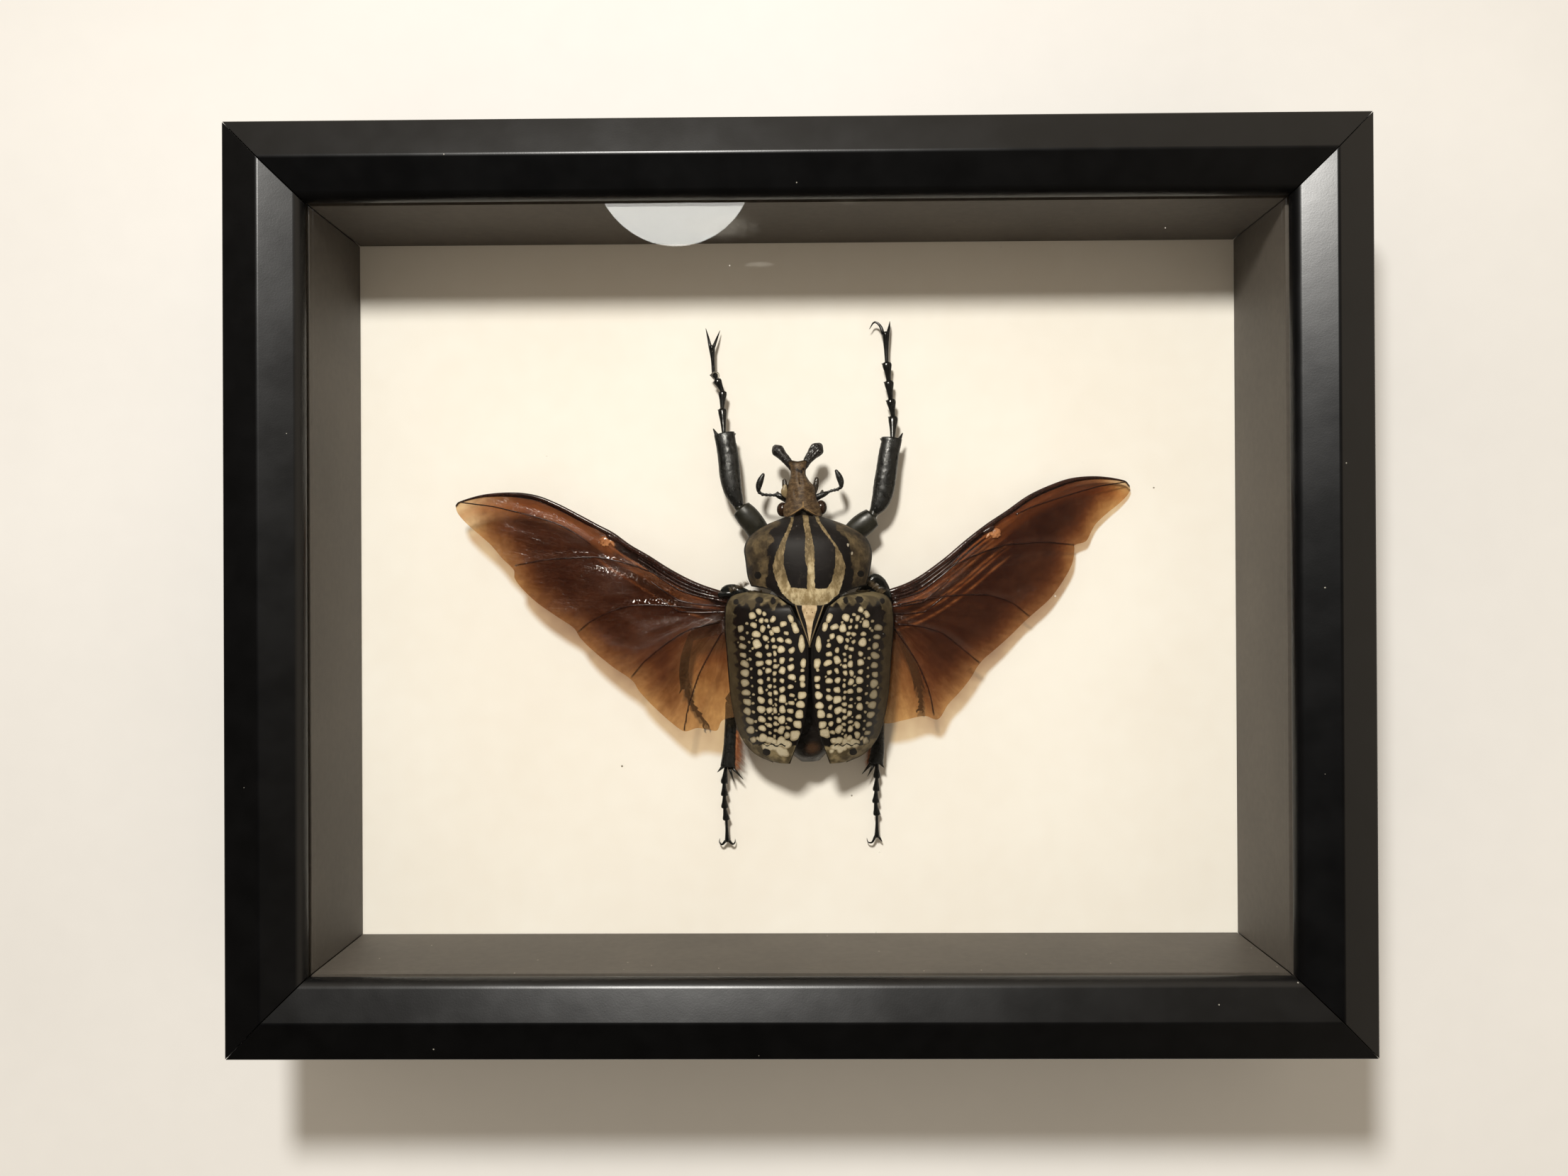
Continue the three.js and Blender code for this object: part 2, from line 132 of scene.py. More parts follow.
def newGroup(name, inputs, outputs):
    made = bpy.data.node_groups.new(name, "ShaderNodeTree")
    for label, kind, value in inputs:
        socket = made.interface.new_socket(label, in_out="INPUT", socket_type="NodeSocket" + kind)
        if value is not None:
            socket.default_value = value
    for label, kind in outputs:
        made.interface.new_socket(label, in_out="OUTPUT", socket_type="NodeSocket" + kind)
    return made, made.nodes.new("NodeGroupInput").outputs, made.nodes.new("NodeGroupOutput").inputs


def useGroup(tree, group, **values):
    made = tree.nodes.new("ShaderNodeGroup")
    made.node_tree = group
    for key, value in values.items():
        socket = made.inputs[key.replace("_", " ")]
        if isinstance(value, bpy.types.NodeSocket):
            tree.links.new(value, socket)
        else:
            socket.default_value = value
    return made.outputs


# effects that several materials share

def buildPits():  # small round dents, as on beetle shell
    group, given, result = newGroup(
        "shell pits",
        [("Vector", "Vector", None), ("Spacing", "Float", 0.6), ("Width", "Float", 0.35)],
        [("Height", "Float")],
    )
    scale = calc(group, "DIVIDE", 1.0, given["Spacing"])
    cells = addNode(group, "TexVoronoi", {"Vector": given["Vector"], "Scale": scale, "Randomness": 0.9})
    height = stepUp(group, cells.outputs["Distance"], 0.0, given["Width"])
    group.links.new(height, result["Height"])
    return group


def buildSpecks():  # rare pale specks of dust and lint
    group, given, result = newGroup(
        "dust specks",
        [("Vector", "Vector", None), ("Spacing", "Float", 6.0), ("Size", "Float", 0.04),
         ("Share", "Float", 0.3)],
        [("Mask", "Float")],
    )
    scale = calc(group, "DIVIDE", 1.0, given["Spacing"])
    cells = addNode(group, "TexVoronoi", {"Vector": given["Vector"], "Scale": scale, "Randomness": 1.0})
    parts = addNode(group, "SeparateColor", {0: cells.outputs["Color"]}).outputs
    size = calc(group, "MULTIPLY", parts[1], given["Size"])
    near = calc(group, "LESS_THAN", cells.outputs["Distance"], size)
    some = calc(group, "LESS_THAN", parts[0], given["Share"])
    group.links.new(calc(group, "MULTIPLY", near, some), result["Mask"])
    return group


def buildMottle():  # two sizes of soft blotch in one value round 0.5
    group, given, result = newGroup(
        "mottle",
        [("Vector", "Vector", None), ("Large", "Float", 20.0), ("Small", "Float", 2.0),
         ("Share", "Float", 0.4)],
        [("Value", "Float")],
    )
    broad = addNode(group, "TexNoise", {"Vector": given["Vector"],
                                        "Scale": calc(group, "DIVIDE", 1.0, given["Large"])})
    fine = addNode(group, "TexNoise", {"Vector": given["Vector"],
                                       "Scale": calc(group, "DIVIDE", 1.0, given["Small"])})
    mixed = addNode(group, "Mix", {0: given["Share"], 2: broad.outputs[0], 3: fine.outputs[0]},
                    data_type="FLOAT")
    group.links.new(mixed.outputs[0], result["Value"])
    return group


pits = buildPits()
specks = buildSpecks()
mottle = buildMottle()


# meshes

def smoothLine(points):  # a curve through the points, read at 0 to 1 of its length
    knots = np.array(points, float)
    padded = np.vstack([2 * knots[0] - knots[1], knots, 2 * knots[-1] - knots[-2]])
    t = np.linspace(0, 1, 12, endpoint=False)[:, None]
    dense = []
    for a, b, c, d in zip(padded[:-3], padded[1:-2], padded[2:-1], padded[3:]):
        bend, twist = 2 * a - 5 * b + 4 * c - d, 3 * b - a - 3 * c + d
        dense.append(0.5 * (2 * b + (c - a) * t + bend * t**2 + twist * t**3))
    dense = np.vstack(dense + [knots[-1:]])
    along = np.concatenate([[0], np.cumsum(np.linalg.norm(np.diff(dense, axis=0), axis=1))])
    along /= along[-1]
    return lambda at: np.stack([np.interp(at, along, column) for column in dense.T], -1)


def patch(rear, front, left, right):  # fills four edge lines: u runs left to right, v rear to front
    rear, front, left, right = (smoothLine(edge) for edge in (rear, front, left, right))

    def at(u, v):
        s, t = u[:, None], v[:, None]
        sides = (1 - t) * rear(u) + t * front(u) + (1 - s) * left(v) + s * right(v)
        low = (1 - s) * rear(np.zeros_like(u)) + s * rear(np.ones_like(u))
        high = (1 - s) * front(np.zeros_like(u)) + s * front(np.ones_like(u))
        return sides - (1 - t) * low - t * high

    return at


def byCurve(pairs):  # a value that goes smoothly through [place, value] pairs
    places, values = smoothLine(sorted(pairs))(np.linspace(0, 1, 200)).T
    return lambda at: np.interp(at, places, values)


def toWorld(x, y, h):  # mm, with height above the mount board
    return Vector((x * mm, y * mm, (boardTop + h) * mm))


def gridMesh(name, across, along, place):
    bm = bmesh.new()
    bm.loops.layers.uv.new("UVMap")
    bmesh.ops.create_grid(bm, x_segments=across, y_segments=along, size=0.5, calc_uvs=True)
    mesh = bpy.data.meshes.new(name)
    bm.to_mesh(mesh)
    bm.free()
    flat = np.empty(len(mesh.vertices) * 3)
    mesh.vertices.foreach_get("co", flat)
    flat = flat.reshape(-1, 3)
    u, v = flat[:, 0] + 0.5, flat[:, 1] + 0.5
    spots = place(u, v)
    world = (spots + [0, 0, boardTop]) * mm
    mesh.vertices.foreach_set("co", world.ravel())
    mesh.update()
    facesDown = sum(face.normal.z for face in mesh.polygons) < 0
    if facesDown:
        mesh.flip_normals()
    return mesh, u, v, spots


def carry(mesh, name, values):  # stores one number a point, for the material
    layer = mesh.attributes.new(name, "FLOAT", "POINT")
    layer.data.foreach_set("value", np.asarray(values, np.float32))


def makePiece(name, mesh, material, slot, *nodes, sharp=None):
    mesh.name = name
    mesh.materials.append(material)
    mesh.polygons.foreach_set("use_smooth", [True] * len(mesh.polygons))
    if sharp is not None:
        mesh.set_sharp_from_angle(angle=math.radians(sharp))
    piece = bpy.data.objects.new(name, mesh)
    bpy.context.scene.collection.objects.link(piece)
    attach(piece, "root")
    if nodes:
        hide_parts(*nodes)
    return piece


def meshOf(bm, clean=True):  # clean joins doubled points and turns the faces outwards
    if clean:
        bmesh.ops.remove_doubles(bm, verts=bm.verts, dist=1e-7)
        bmesh.ops.recalc_face_normals(bm, faces=bm.faces)
    mesh = bpy.data.meshes.new("made")
    bm.to_mesh(mesh)
    bm.free()
    return mesh


def thicken(piece, thickness):
    shell = piece.modifiers.new("thickness", "SOLIDIFY")
    shell.thickness = thickness * mm
    shell.offset = -1


def addLimb(bm, stations, steps=16, sides=14, blunt=0.5):
    # a rounded body through [x, y, height, half width, half depth] stations
    line = smoothLine(stations)
    rows = line(np.linspace(0, 1, steps))
    first, last = rows[0], rows[-1]
    # narrower rings at each end
    caps = [(share, blunt * math.cos(share * math.pi / 2)) for share in (0.4, 0.8)]
    rings = [(first, share, -reach) for share, reach in caps]
    rings += [(row, 1.0, 0.0) for row in rows]
    rings += [(last, share, reach) for share, reach in reversed(caps)]
    loops = []
    for index, (row, share, reach) in enumerate(rings):
        at = min(max(index - len(caps), 0), steps - 1)
        before, after = rows[max(at - 1, 0)], rows[min(at + 1, steps - 1)]
        ahead = Vector(after[:3] - before[:3]).normalized()
        aside = ahead.cross(Vector((0, 0, 1))).normalized()
        above = aside.cross(ahead)
        centre = toWorld(*row[:3]) + ahead * (reach * row[3] * mm)
        half, deep = row[3] * share * mm, row[4] * share * mm
        basis = Matrix((aside * half, above * deep, ahead * mm)).transposed().to_4x4()
        ring = bmesh.ops.create_circle(bm, segments=sides, radius=1.0,
                                       matrix=Matrix.Translation(centre) @ basis)
        loops.append(list({edge for vert in ring["verts"] for edge in vert.link_edges}))
    for near, far in zip(loops, loops[1:]):
        bmesh.ops.bridge_loops(bm, edges=near + far)
    bmesh.ops.edgeloop_fill(bm, edges=loops[0])
    bmesh.ops.edgeloop_fill(bm, edges=loops[-1])


def addSpine(bm, root, tip, radius, sides=7):  # a straight pointed spine
    start, end = toWorld(*root), toWorld(*tip)
    ahead = end - start
    turn = ahead.to_track_quat("Z", "Y").to_matrix().to_4x4()
    place = Matrix.Translation((start + end) / 2) @ turn
    bmesh.ops.create_cone(
        bm, cap_ends=True, segments=sides, radius1=radius * mm, radius2=radius * 0.12 * mm,
        depth=ahead.length, matrix=place,
    )


def addHook(bm, points, thick, steps=12):  # a curved claw that tapers to a point
    line = smoothLine(points)
    rows = line(np.linspace(0, 1, steps))
    sizes = thick * (1 - 0.86 * np.linspace(0, 1, steps) ** 1.3)
    addLimb(bm, [(*row, size, size) for row, size in zip(rows, sizes)], steps=steps, sides=8, blunt=0.4)


def roughen(bm, verts, size, depth, seed=0.0):  # pushes points in and out by noise
    bm.normal_update()
    for vert in verts:
        where = vert.co / (size * mm) + Vector((seed, seed, seed))
        vert.co += vert.normal * noise.noise(where) * depth * mm


# camera, light and table

view = {
    "place": (-0.4, -0.98, 322.8),  # mm, looking straight down at the glass
    "tilt": (-0.003, -0.010, 0.005),
    "lens": 26.04,
    "sensor": 36,
}
light = {
    "lampPlace": (-90, 306, 490),  # a round lamp over the far side, mm
    "lampRadius": 42,
    "lampPower": 11.6,
    "lampColour": (1.0, 0.975, 0.925),
    "roomColour": (1.0, 0.86, 0.68),
    "softFill": 0.52,  # what matt surfaces get from the room
    "roomOverhead": 0.04,  # what gloss mirrors of it, overhead and at the sides
    "roomSides": 0.57,
    "overhead": (0.97, 0.55),  # where overhead ends and the sides begin, as the height of a unit arrow
    "brightSide": (0.7, 0.7, 0.0),  # the room is brighter towards this corner
    "sideShares": (0.05, 1.2),  # from its darkest to its brightest side
}
tableTop = {"half": 2.0, "dark": paint(207, 206, 204), "pale": paint(216, 215, 213), "rough": 0.6}


def setCamera():
    data = bpy.data.cameras.new("camera")
    data.lens = view["lens"]
    data.sensor_width = view["sensor"]
    camera = bpy.data.objects.new("camera", data)
    tiltX, tiltY, tiltZ = (Matrix.Rotation(a, 3, axis) for a, axis in zip(view["tilt"], "XYZ"))
    turn = (tiltZ @ tiltY @ tiltX).transposed().to_4x4()
    camera.matrix_world = Matrix.Translation(Vector(view["place"]) * mm) @ turn
    bpy.context.scene.collection.objects.link(camera)
    bpy.context.scene.camera = camera


def setLight():
    data = bpy.data.lights.new("lamp", "AREA")
    data.shape = "DISK"
    data.size = 2 * light["lampRadius"] * mm
    data.energy = light["lampPower"]
    data.color = light["lampColour"]
    lamp = bpy.data.objects.new("lamp", data)
    lamp.location = Vector(light["lampPlace"]) * mm
    lamp.rotation_euler = (-lamp.location).to_track_quat("-Z", "Y").to_euler()
    bpy.context.scene.collection.objects.link(lamp)
    data.use_nodes = True
    tree = data.node_tree
    even = addNode(tree, "LightFalloff", {"Strength": 1.0}).outputs["Constant"]  # as bright near as far
    tree.links.new(even, tree.nodes["Emission"].inputs["Strength"])
    world = bpy.data.worlds.new("room")
    world.use_nodes = True
    tree = world.node_tree
    back = tree.nodes["Background"].inputs
    back["Color"].default_value = (*light["roomColour"], 1)
    ahead = addNode(tree, "TexCoord").outputs["Generated"]
    up = addNode(tree, "SeparateXYZ", {0: ahead}).outputs["Z"]
    low = stepUp(tree, up, *light["overhead"], light["roomOverhead"], light["roomSides"])
    lean = addNode(tree, "VectorMath", {0: ahead, 1: light["brightSide"]},
                   operation="DOT_PRODUCT").outputs["Value"]
    mirrored = calc(tree, "MULTIPLY", low, stepUp(tree, lean, -0.5, 0.8, *light["sideShares"]))
    matt = addNode(tree, "LightPath").outputs["Is Diffuse Ray"]
    strength = addNode(tree, "Mix", {0: matt, 2: mirrored, 3: light["softFill"]}, data_type="FLOAT")
    tree.links.new(strength.outputs[0], back["Strength"])
    bpy.context.scene.world = world
    bpy.context.scene.view_settings.view_transform = "Standard"


def setTable():
    bm = bmesh.new()
    bmesh.ops.create_grid(bm, x_segments=1, y_segments=1, size=tableTop["half"])
    mesh = meshOf(bm, clean=False)
    material, tree, shader = newMaterial("table top", Roughness=tableTop["rough"])
    where = inMillimetres(tree)
    tone = useGroup(tree, mottle, Vector=where, Large=180.0, Small=9.0, Share=0.15)["Value"]
    colour = ramp(tree, tone, [(0.3, tableTop["dark"]), (0.7, tableTop["pale"])])
    tree.links.new(colour, shader["Base Color"])
    mesh.materials.append(material)
    table = bpy.data.objects.new("table", mesh)
    bpy.context.scene.collection.objects.link(table)


setCamera()
setLight()
setTable()
print("stage: camera, light and table")


# frame rails

rail = {
    "edgeHeight": 48.4,
    "ridgeHeight": 50.8,
    "ridgeInset": 9.6,
    "lipHeight": 46.9,
    "lipUnder": 44.3,
    "body": 12.7,
    "width": 19.05,
    "joint": 0.12,  # hairline at each mitre
    "mitreRound": 0.12,
    "lost": 0.42,  # what the hairlines and rounds take off the length and the width
    "innerRound": 2.2,
    "ridgeRound": 0.5,
    "outerRound": 0.6,
    "footRound": 0.4,
    "underRound": 0.3,
    "dark": paint(3, 3, 4),
    "pale": paint(7, 7, 8),
    "dust": paint(150, 148, 140),
}


def framePaint():  # satin black with a fine sprayed grain and a little dust
    material, tree, shader = newMaterial("frame paint")
    where = inMillimetres(tree)
    peel = cloud(tree, where, 0.45, detail=3.0, rough=0.65)
    wave = cloud(tree, where, 7.0, detail=2.0)
    height = weigh(tree, peel, 0.14, wave, 0.45)
    tree.links.new(bump(tree, height, 0.055, 1.0), shader["Normal"])
    dust = useGroup(tree, specks, Vector=where, Spacing=5.0, Size=0.05, Share=0.35)["Mask"]
    tone = ramp(tree, wave, [(0.3, rail["dark"]), (0.7, rail["pale"])])
    tree.links.new(blend(tree, dust, tone, rail["dust"]), shader["Base Color"])
    rough = stepUp(tree, cloud(tree, where, 14.0), 0.3, 0.7, 0.29, 0.33)
    tree.links.new(rough, shader["Roughness"])
    return material


def makeRail(name, node, length, across, turn, material):
    bm = bmesh.new()
    outline = [
        (0, 0), (rail["body"], 0), (rail["body"], rail["lipUnder"]), (rail["width"], rail["lipUnder"]),
        (rail["width"], rail["lipHeight"]), (rail["ridgeInset"], rail["ridgeHeight"]),
        (0, rail["edgeHeight"]),
    ]
    section = [bm.verts.new((0, inset, height)) for inset, height in outline]
    face = bm.faces.new(section)
    grown = bmesh.ops.extrude_face_region(bm, geom=[face])
    far = [item for item in grown["geom"] if isinstance(item, bmesh.types.BMVert)]
    bmesh.ops.translate(bm, verts=far, vec=(1, 0, 0))
    bmesh.ops.recalc_face_normals(bm, faces=bm.faces)

    def longEdges(inset, height):
        found = []
        for edge in bm.edges:
            a, b = edge.verts
            here = abs(a.co.y - inset) < 1e-4 and abs(a.co.z - height) < 1e-4
            if here and abs(a.co.x - b.co.x) > 0.5:
                found.append(edge)
        return found

    rounds = [
        (rail["width"], rail["lipHeight"], rail["innerRound"], 8),
        (rail["ridgeInset"], rail["ridgeHeight"], rail["ridgeRound"], 4),
        (0, rail["edgeHeight"], rail["outerRound"], 4),
        (0, 0, rail["footRound"], 2),
        (rail["width"], rail["lipUnder"], rail["underRound"], 2),
    ]
    for inset, height, radius, segments in rounds:
        bmesh.ops.bevel(
            bm, geom=longEdges(inset, height), offset=radius, offset_type="OFFSET", affect="EDGES",
            segments=segments, profile=0.5, material=-1,
        )
    for vert in bm.verts:  # mitre both ends
        side = 1 if vert.co.x > 0.5 else -1
        reach = length / 2 - vert.co.y - rail["joint"]
        vert.co = Vector((side * reach, vert.co.y - across / 2, vert.co.z))
    mitre = [edge for edge in bm.edges if len({v.co.x > 0 for v in edge.verts}) == 1]
    bmesh.ops.bevel(
        bm, geom=mitre, offset=rail["mitreRound"], offset_type="OFFSET", affect="EDGES", segments=2,
        profile=0.5, material=-1,
    )
    bmesh.ops.scale(bm, verts=bm.verts, vec=(mm, mm, mm))
    bmesh.ops.rotate(bm, verts=bm.verts, cent=(0, 0, 0), matrix=Matrix.Rotation(turn, 3, "Z"))
    piece = makePiece(name, meshOf(bm), material, "frame_paint", node, sharp=30)
    piece.modifiers.new("flat bands", "WEIGHTED_NORMAL").keep_sharp = True


def makeFrame():
    material = framePaint()
    low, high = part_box("rail_bottom")
    width = (high.x - low.x) / mm + rail["lost"]
    lowSide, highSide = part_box("rail_left")
    tall = (highSide.y - lowSide.y) / mm + rail["lost"]
    makeRail("frame_bottom", "rail_bottom", width, tall, 0, material)
    makeRail("frame_right", "rail_right", tall, width, math.pi / 2, material)
    makeRail("frame_top", "rail_top", width, tall, math.pi, material)
    makeRail("frame_left", "rail_left", tall, width, -math.pi / 2, material)


makeFrame()
print("stage: frame")


# the case: glass, spacer strips, boards and their fixings

def useMaterial(name, material):  # a piece of the frame keeps its shape and gets a new surface
    mesh = bpy.data.objects[name].data
    mesh.materials.clear()
    mesh.materials.append(material)


glass = {
    "tint": paint(254, 254, 252),
    "shadowTint": (0.95, 0.94, 0.92, 1),  # what the lamp loses on its way in
    "roomTint": (0.82, 0.81, 0.80, 1),  # and what the light of the room loses
    "lampPlace": (-152, 544, 1200),  # a faint, far lamp that only the glass mirrors, mm
    "lampRadius": 102.5,
    "lampGlow": 0.8,
    "lampColour": (1.0, 1.0, 0.95),
    "film": (246, 195),  # size of the greasy film on it, mm
    "filmLift": 0.03,
    "marks": [  # finger marks near the far edge: centre, half size, turn, share of ridges, strength
        ((12.5, 97.5), (5.0, 4.0), 0.5, 0.5, 1.0), ((-19.0, 89.0), (10.5, 3.6), -0.5, 0.15, 0.8),
        ((-46.0, 98.5), (8.0, 2.8), 0.15, 0.0, 0.7), ((-9.0, 79.5), (4.2, 0.8), 0.8, 0.6, 1.3),
    ],
    "grease": 0.13,  # how thick the finger marks are, from 0 to 1
}


def clearGlass():
    material, tree, shader = newMaterial("picture glass", Base_Color=glass["tint"], IOR=1.5,
                                         Roughness=0.0)
    shader["Transmission Weight"].default_value = 1.0
    rays = addNode(tree, "LightPath").outputs
    clear = addNode(tree, "BsdfTransparent", {"Color": glass["shadowTint"]})
    body = tree.nodes["Principled BSDF"].outputs[0]
    pane = addNode(tree, "MixShader", {0: rays["Is Shadow Ray"], 1: body, 2: clear.outputs[0]})
    dimmer = addNode(tree, "BsdfTransparent", {"Color": glass["roomTint"]})
    pane = addNode(tree, "MixShader", {0: rays["Is Diffuse Ray"], 1: pane.outputs[0],
                                       2: dimmer.outputs[0]})
    tree.links.new(pane.outputs[0], tree.nodes["Material Output"].inputs["Surface"])
    return material


def smudgeMask(tree):  # a print and three wipes with torn edges
    total = None
    for (x, y), (halfX, halfY), turn, ridged, strength in glass["marks"]:
        spot = inMillimetres(tree, centre=(x, y, 0))
        turned = addNode(tree, "Mapping", {"Vector": spot, "Rotation": (0, 0, turn),
                                           "Scale": (1 / halfX, 1 / halfY, 0)})
        reach = addNode(tree, "VectorMath", {0: turned.outputs[0]}, operation="LENGTH").outputs["Value"]
        torn = calc(tree, "ADD", reach, cloud(tree, spot, 2.0, detail=6.0, rough=0.7))
        inner = stepUp(tree, torn, 0.75, 1.6, strength, 0.0)
        rings = addNode(tree, "TexWave", {"Vector": turned.outputs[0], "Scale": 1.8, "Distortion": 2.5,
                                          "Detail": 3.0})
        lines = calc(tree, "ADD", calc(tree, "MULTIPLY", rings.outputs["Fac"], ridged), 1 - ridged)
        mark = calc(tree, "MULTIPLY", inner, lines)
        total = mark if total is None else calc(tree, "MAXIMUM", total, mark)
    return total


def grimeFilm():  # a film that is clear but for finger marks, dust and fine wiping streaks
    material, tree, shader = newMaterial("grime", Base_Color=paint(206, 204, 196), Roughness=0.7)
    where = inMillimetres(tree)
    fine = useGroup(tree, specks, Vector=where, Spacing=1.9, Size=0.05, Share=0.22)["Mask"]
    coarse = useGroup(tree, specks, Vector=where, Spacing=9.0, Size=0.035, Share=0.3)["Mask"]
    streaks = cloud(tree, inMillimetres(tree, stretch=(0.4, 3.0, 1.0), turn=0.9), 1.2, detail=5.0,
                    rough=0.7)
    wiped = stepUp(tree, streaks, 0.6, 0.85, 0.0, 0.03)
    greasy = calc(tree, "MULTIPLY", smudgeMask(tree), glass["grease"])
    dusty = calc(tree, "MAXIMUM", calc(tree, "MULTIPLY", fine, 0.35), calc(tree, "MULTIPLY", coarse, 0.7))
    total = calc(tree, "MAXIMUM", calc(tree, "ADD", greasy, wiped), dusty, clamp=True)
    clear = addNode(tree, "BsdfTransparent")
    body = tree.nodes["Principled BSDF"].outputs[0]
    film = addNode(tree, "MixShader", {0: total, 1: clear.outputs[0], 2: body})
    tree.links.new(film.outputs[0], tree.nodes["Material Output"].inputs["Surface"])
    return material


def makeGrime():
    bm = bmesh.new()
    bmesh.ops.create_grid(bm, x_segments=12, y_segments=10, size=0.5)
    bmesh.ops.scale(bm, verts=bm.verts, vec=(glass["film"][0] * mm, glass["film"][1] * mm, 1))
    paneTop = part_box("glass_pane")[1].z
    bmesh.ops.translate(bm, verts=bm.verts, vec=(0, 0, paneTop + glass["filmLift"] * mm))
    film = makePiece("grime_film", meshOf(bm, clean=False), grimeFilm(), "glass")
    film.visible_shadow = film.visible_diffuse = film.visible_glossy = film.visible_transmission = False


def spacerCard():  # dark taupe card, rubbed along its length
    material, tree, shader = newMaterial("spacer card", Roughness=0.62)
    where = inMillimetres(tree)
    tone = useGroup(tree, mottle, Vector=where, Large=38.0, Small=1.6, Share=0.35)["Value"]
    colour = ramp(tree, tone, [(0.25, paint(69, 64, 59)), (0.75, paint(92, 86, 79))])
    dust = useGroup(tree, specks, Vector=where, Spacing=3.4, Size=0.055, Share=0.4)["Mask"]
    tree.links.new(blend(tree, dust, colour, paint(176, 170, 156)), shader["Base Color"])
    streaks = cloud(tree, inMillimetres(tree, stretch=(0.5, 0.5, 6.0)), 1.2, detail=4.0)
    tree.links.new(bump(tree, streaks, 0.05, 0.7), shader["Normal"])
    return material


def mountCard():  # warm white backing card with a soft tooth and a few grey specks
    material, tree, shader = newMaterial("mount card", Roughness=0.78)
    where = inMillimetres(tree)
    tone = useGroup(tree, mottle, Vector=where, Large=55.0, Small=5.0, Share=0.3)["Value"]
    colour = ramp(tree, tone, [(0.32, paint(245, 241, 234)), (0.68, paint(251, 249, 244))])
    dust = useGroup(tree, specks, Vector=where, Spacing=7.0, Size=0.05, Share=0.22)["Mask"]
    tree.links.new(blend(tree, dust, colour, paint(140, 132, 116)), shader["Base Color"])
    tooth = cloud(tree, where, 0.6, detail=4.0, rough=0.7)
    tree.links.new(bump(tree, tooth, 0.03, 0.5), shader["Normal"])
    return material


def fibreBoard():  # pressed brown hardboard
    material, tree, shader = newMaterial("fibre board", Roughness=0.7)
    where = inMillimetres(tree)
    threads = cloud(tree, inMillimetres(tree, stretch=(1.0, 0.35, 1.0), turn=0.5), 0.9, detail=6.0,
                    rough=0.75, twist=1.5)
    tone = useGroup(tree, mottle, Vector=where, Large=60.0, Small=3.0, Share=0.4)["Value"]
    both = weigh(tree, threads, 0.6, tone, 0.4)
    colour = ramp(tree, both, [(0.3, paint(88, 62, 42)), (0.55, paint(122, 89, 60)),
                               (0.75, paint(150, 114, 80))])
    tree.links.new(colour, shader["Base Color"])
    tree.links.new(bump(tree, threads, 0.06, 0.8), shader["Normal"])
    return material


def zincSteel():
    material, tree, shader = newMaterial("zinc plated steel", Metallic=1.0)
    where = inMillimetres(tree)
    grain = cloud(tree, inMillimetres(tree, stretch=(0.3, 3.0, 1.0)), 0.5, detail=4.0)
    tone = useGroup(tree, mottle, Vector=where, Large=6.0, Small=0.8, Share=0.4)["Value"]
    tree.links.new(ramp(tree, tone, [(0.3, paint(150, 148, 142)), (0.7, paint(190, 190, 186))]),
                   shader["Base Color"])
    tree.links.new(stepUp(tree, grain, 0.3, 0.7, 0.28, 0.5), shader["Roughness"])
    tree.links.new(bump(tree, grain, 0.01, 0.6), shader["Normal"])
    return material


def makeCase():
    useMaterial("glass_pane", clearGlass())
    card = spacerCard()
    for side in ("top", "bottom", "left", "right"):
        useMaterial("spacer_" + side, card)
    useMaterial("mount_board", mountCard())
    useMaterial("back_board", fibreBoard())
    steel = zincSteel()
    for name in ("top_left", "top_right", "bottom_left", "bottom_right", "left", "right"):
        useMaterial("point_" + name, steel)
    useMaterial("sawtooth_hanger", steel)


def setGlassLamp():  # the glass mirrors its own weak lamp, so the bright one doesn't glare
    data = bpy.data.lights.new("glass lamp", "AREA")
    data.shape = "DISK"
    data.size = 2 * glass["lampRadius"] * mm
    data.energy = glass["lampGlow"]
    data.color = glass["lampColour"]
    faint = bpy.data.objects.new("glass lamp", data)
    faint.location = Vector(glass["lampPlace"]) * mm
    faint.rotation_euler = (-faint.location).to_track_quat("-Z", "Y").to_euler()
    bpy.context.scene.collection.objects.link(faint)
    pane = bpy.data.objects["glass_pane"]
    onlyGlass = bpy.data.collections.new("only glass")
    onlyGlass.objects.link(pane)
    faint.light_linking.receiver_collection = onlyGlass
    allButGlass = bpy.data.collections.new("all but glass")
    allButGlass.objects.link(pane)
    lamp = bpy.data.objects["lamp"]
    lamp.light_linking.receiver_collection = allButGlass
    allButGlass.collection_objects[0].light_linking.link_state = "EXCLUDE"


makeCase()
makeGrime()
setGlassLamp()
print("stage: case")


# beetle shell patterns

def bodyAxis(y):  # the head and the front shield lean a little to the left
    return np.interp(y, [-47, -5, 19, 34], [3.0, 3.3, 2.05, 0.5])


def inside(x, y, outline):  # signed distance in mm to a closed outline, above zero inside
    corners = np.array(outline, float)
    nearest = np.full(x.shape, 1e9)
    crossed = np.zeros(x.shape, bool)
    for (ax, ay), (bx, by) in zip(corners, np.roll(corners, -1, axis=0)):
        lengthSquared = (bx - ax) ** 2 + (by - ay) ** 2
        share = np.clip(((x - ax) * (bx - ax) + (y - ay) * (by - ay)) / lengthSquared, 0, 1)
        nearest = np.minimum(nearest, np.hypot(x - ax - share * (bx - ax), y - ay - share * (by - ay)))
        if ay != by:
            over = (ay > y) != (by > y)
            crossed ^= over & (x < (bx - ax) * (y - ay) / (by - ay) + ax)
    return np.where(crossed, nearest, -nearest)


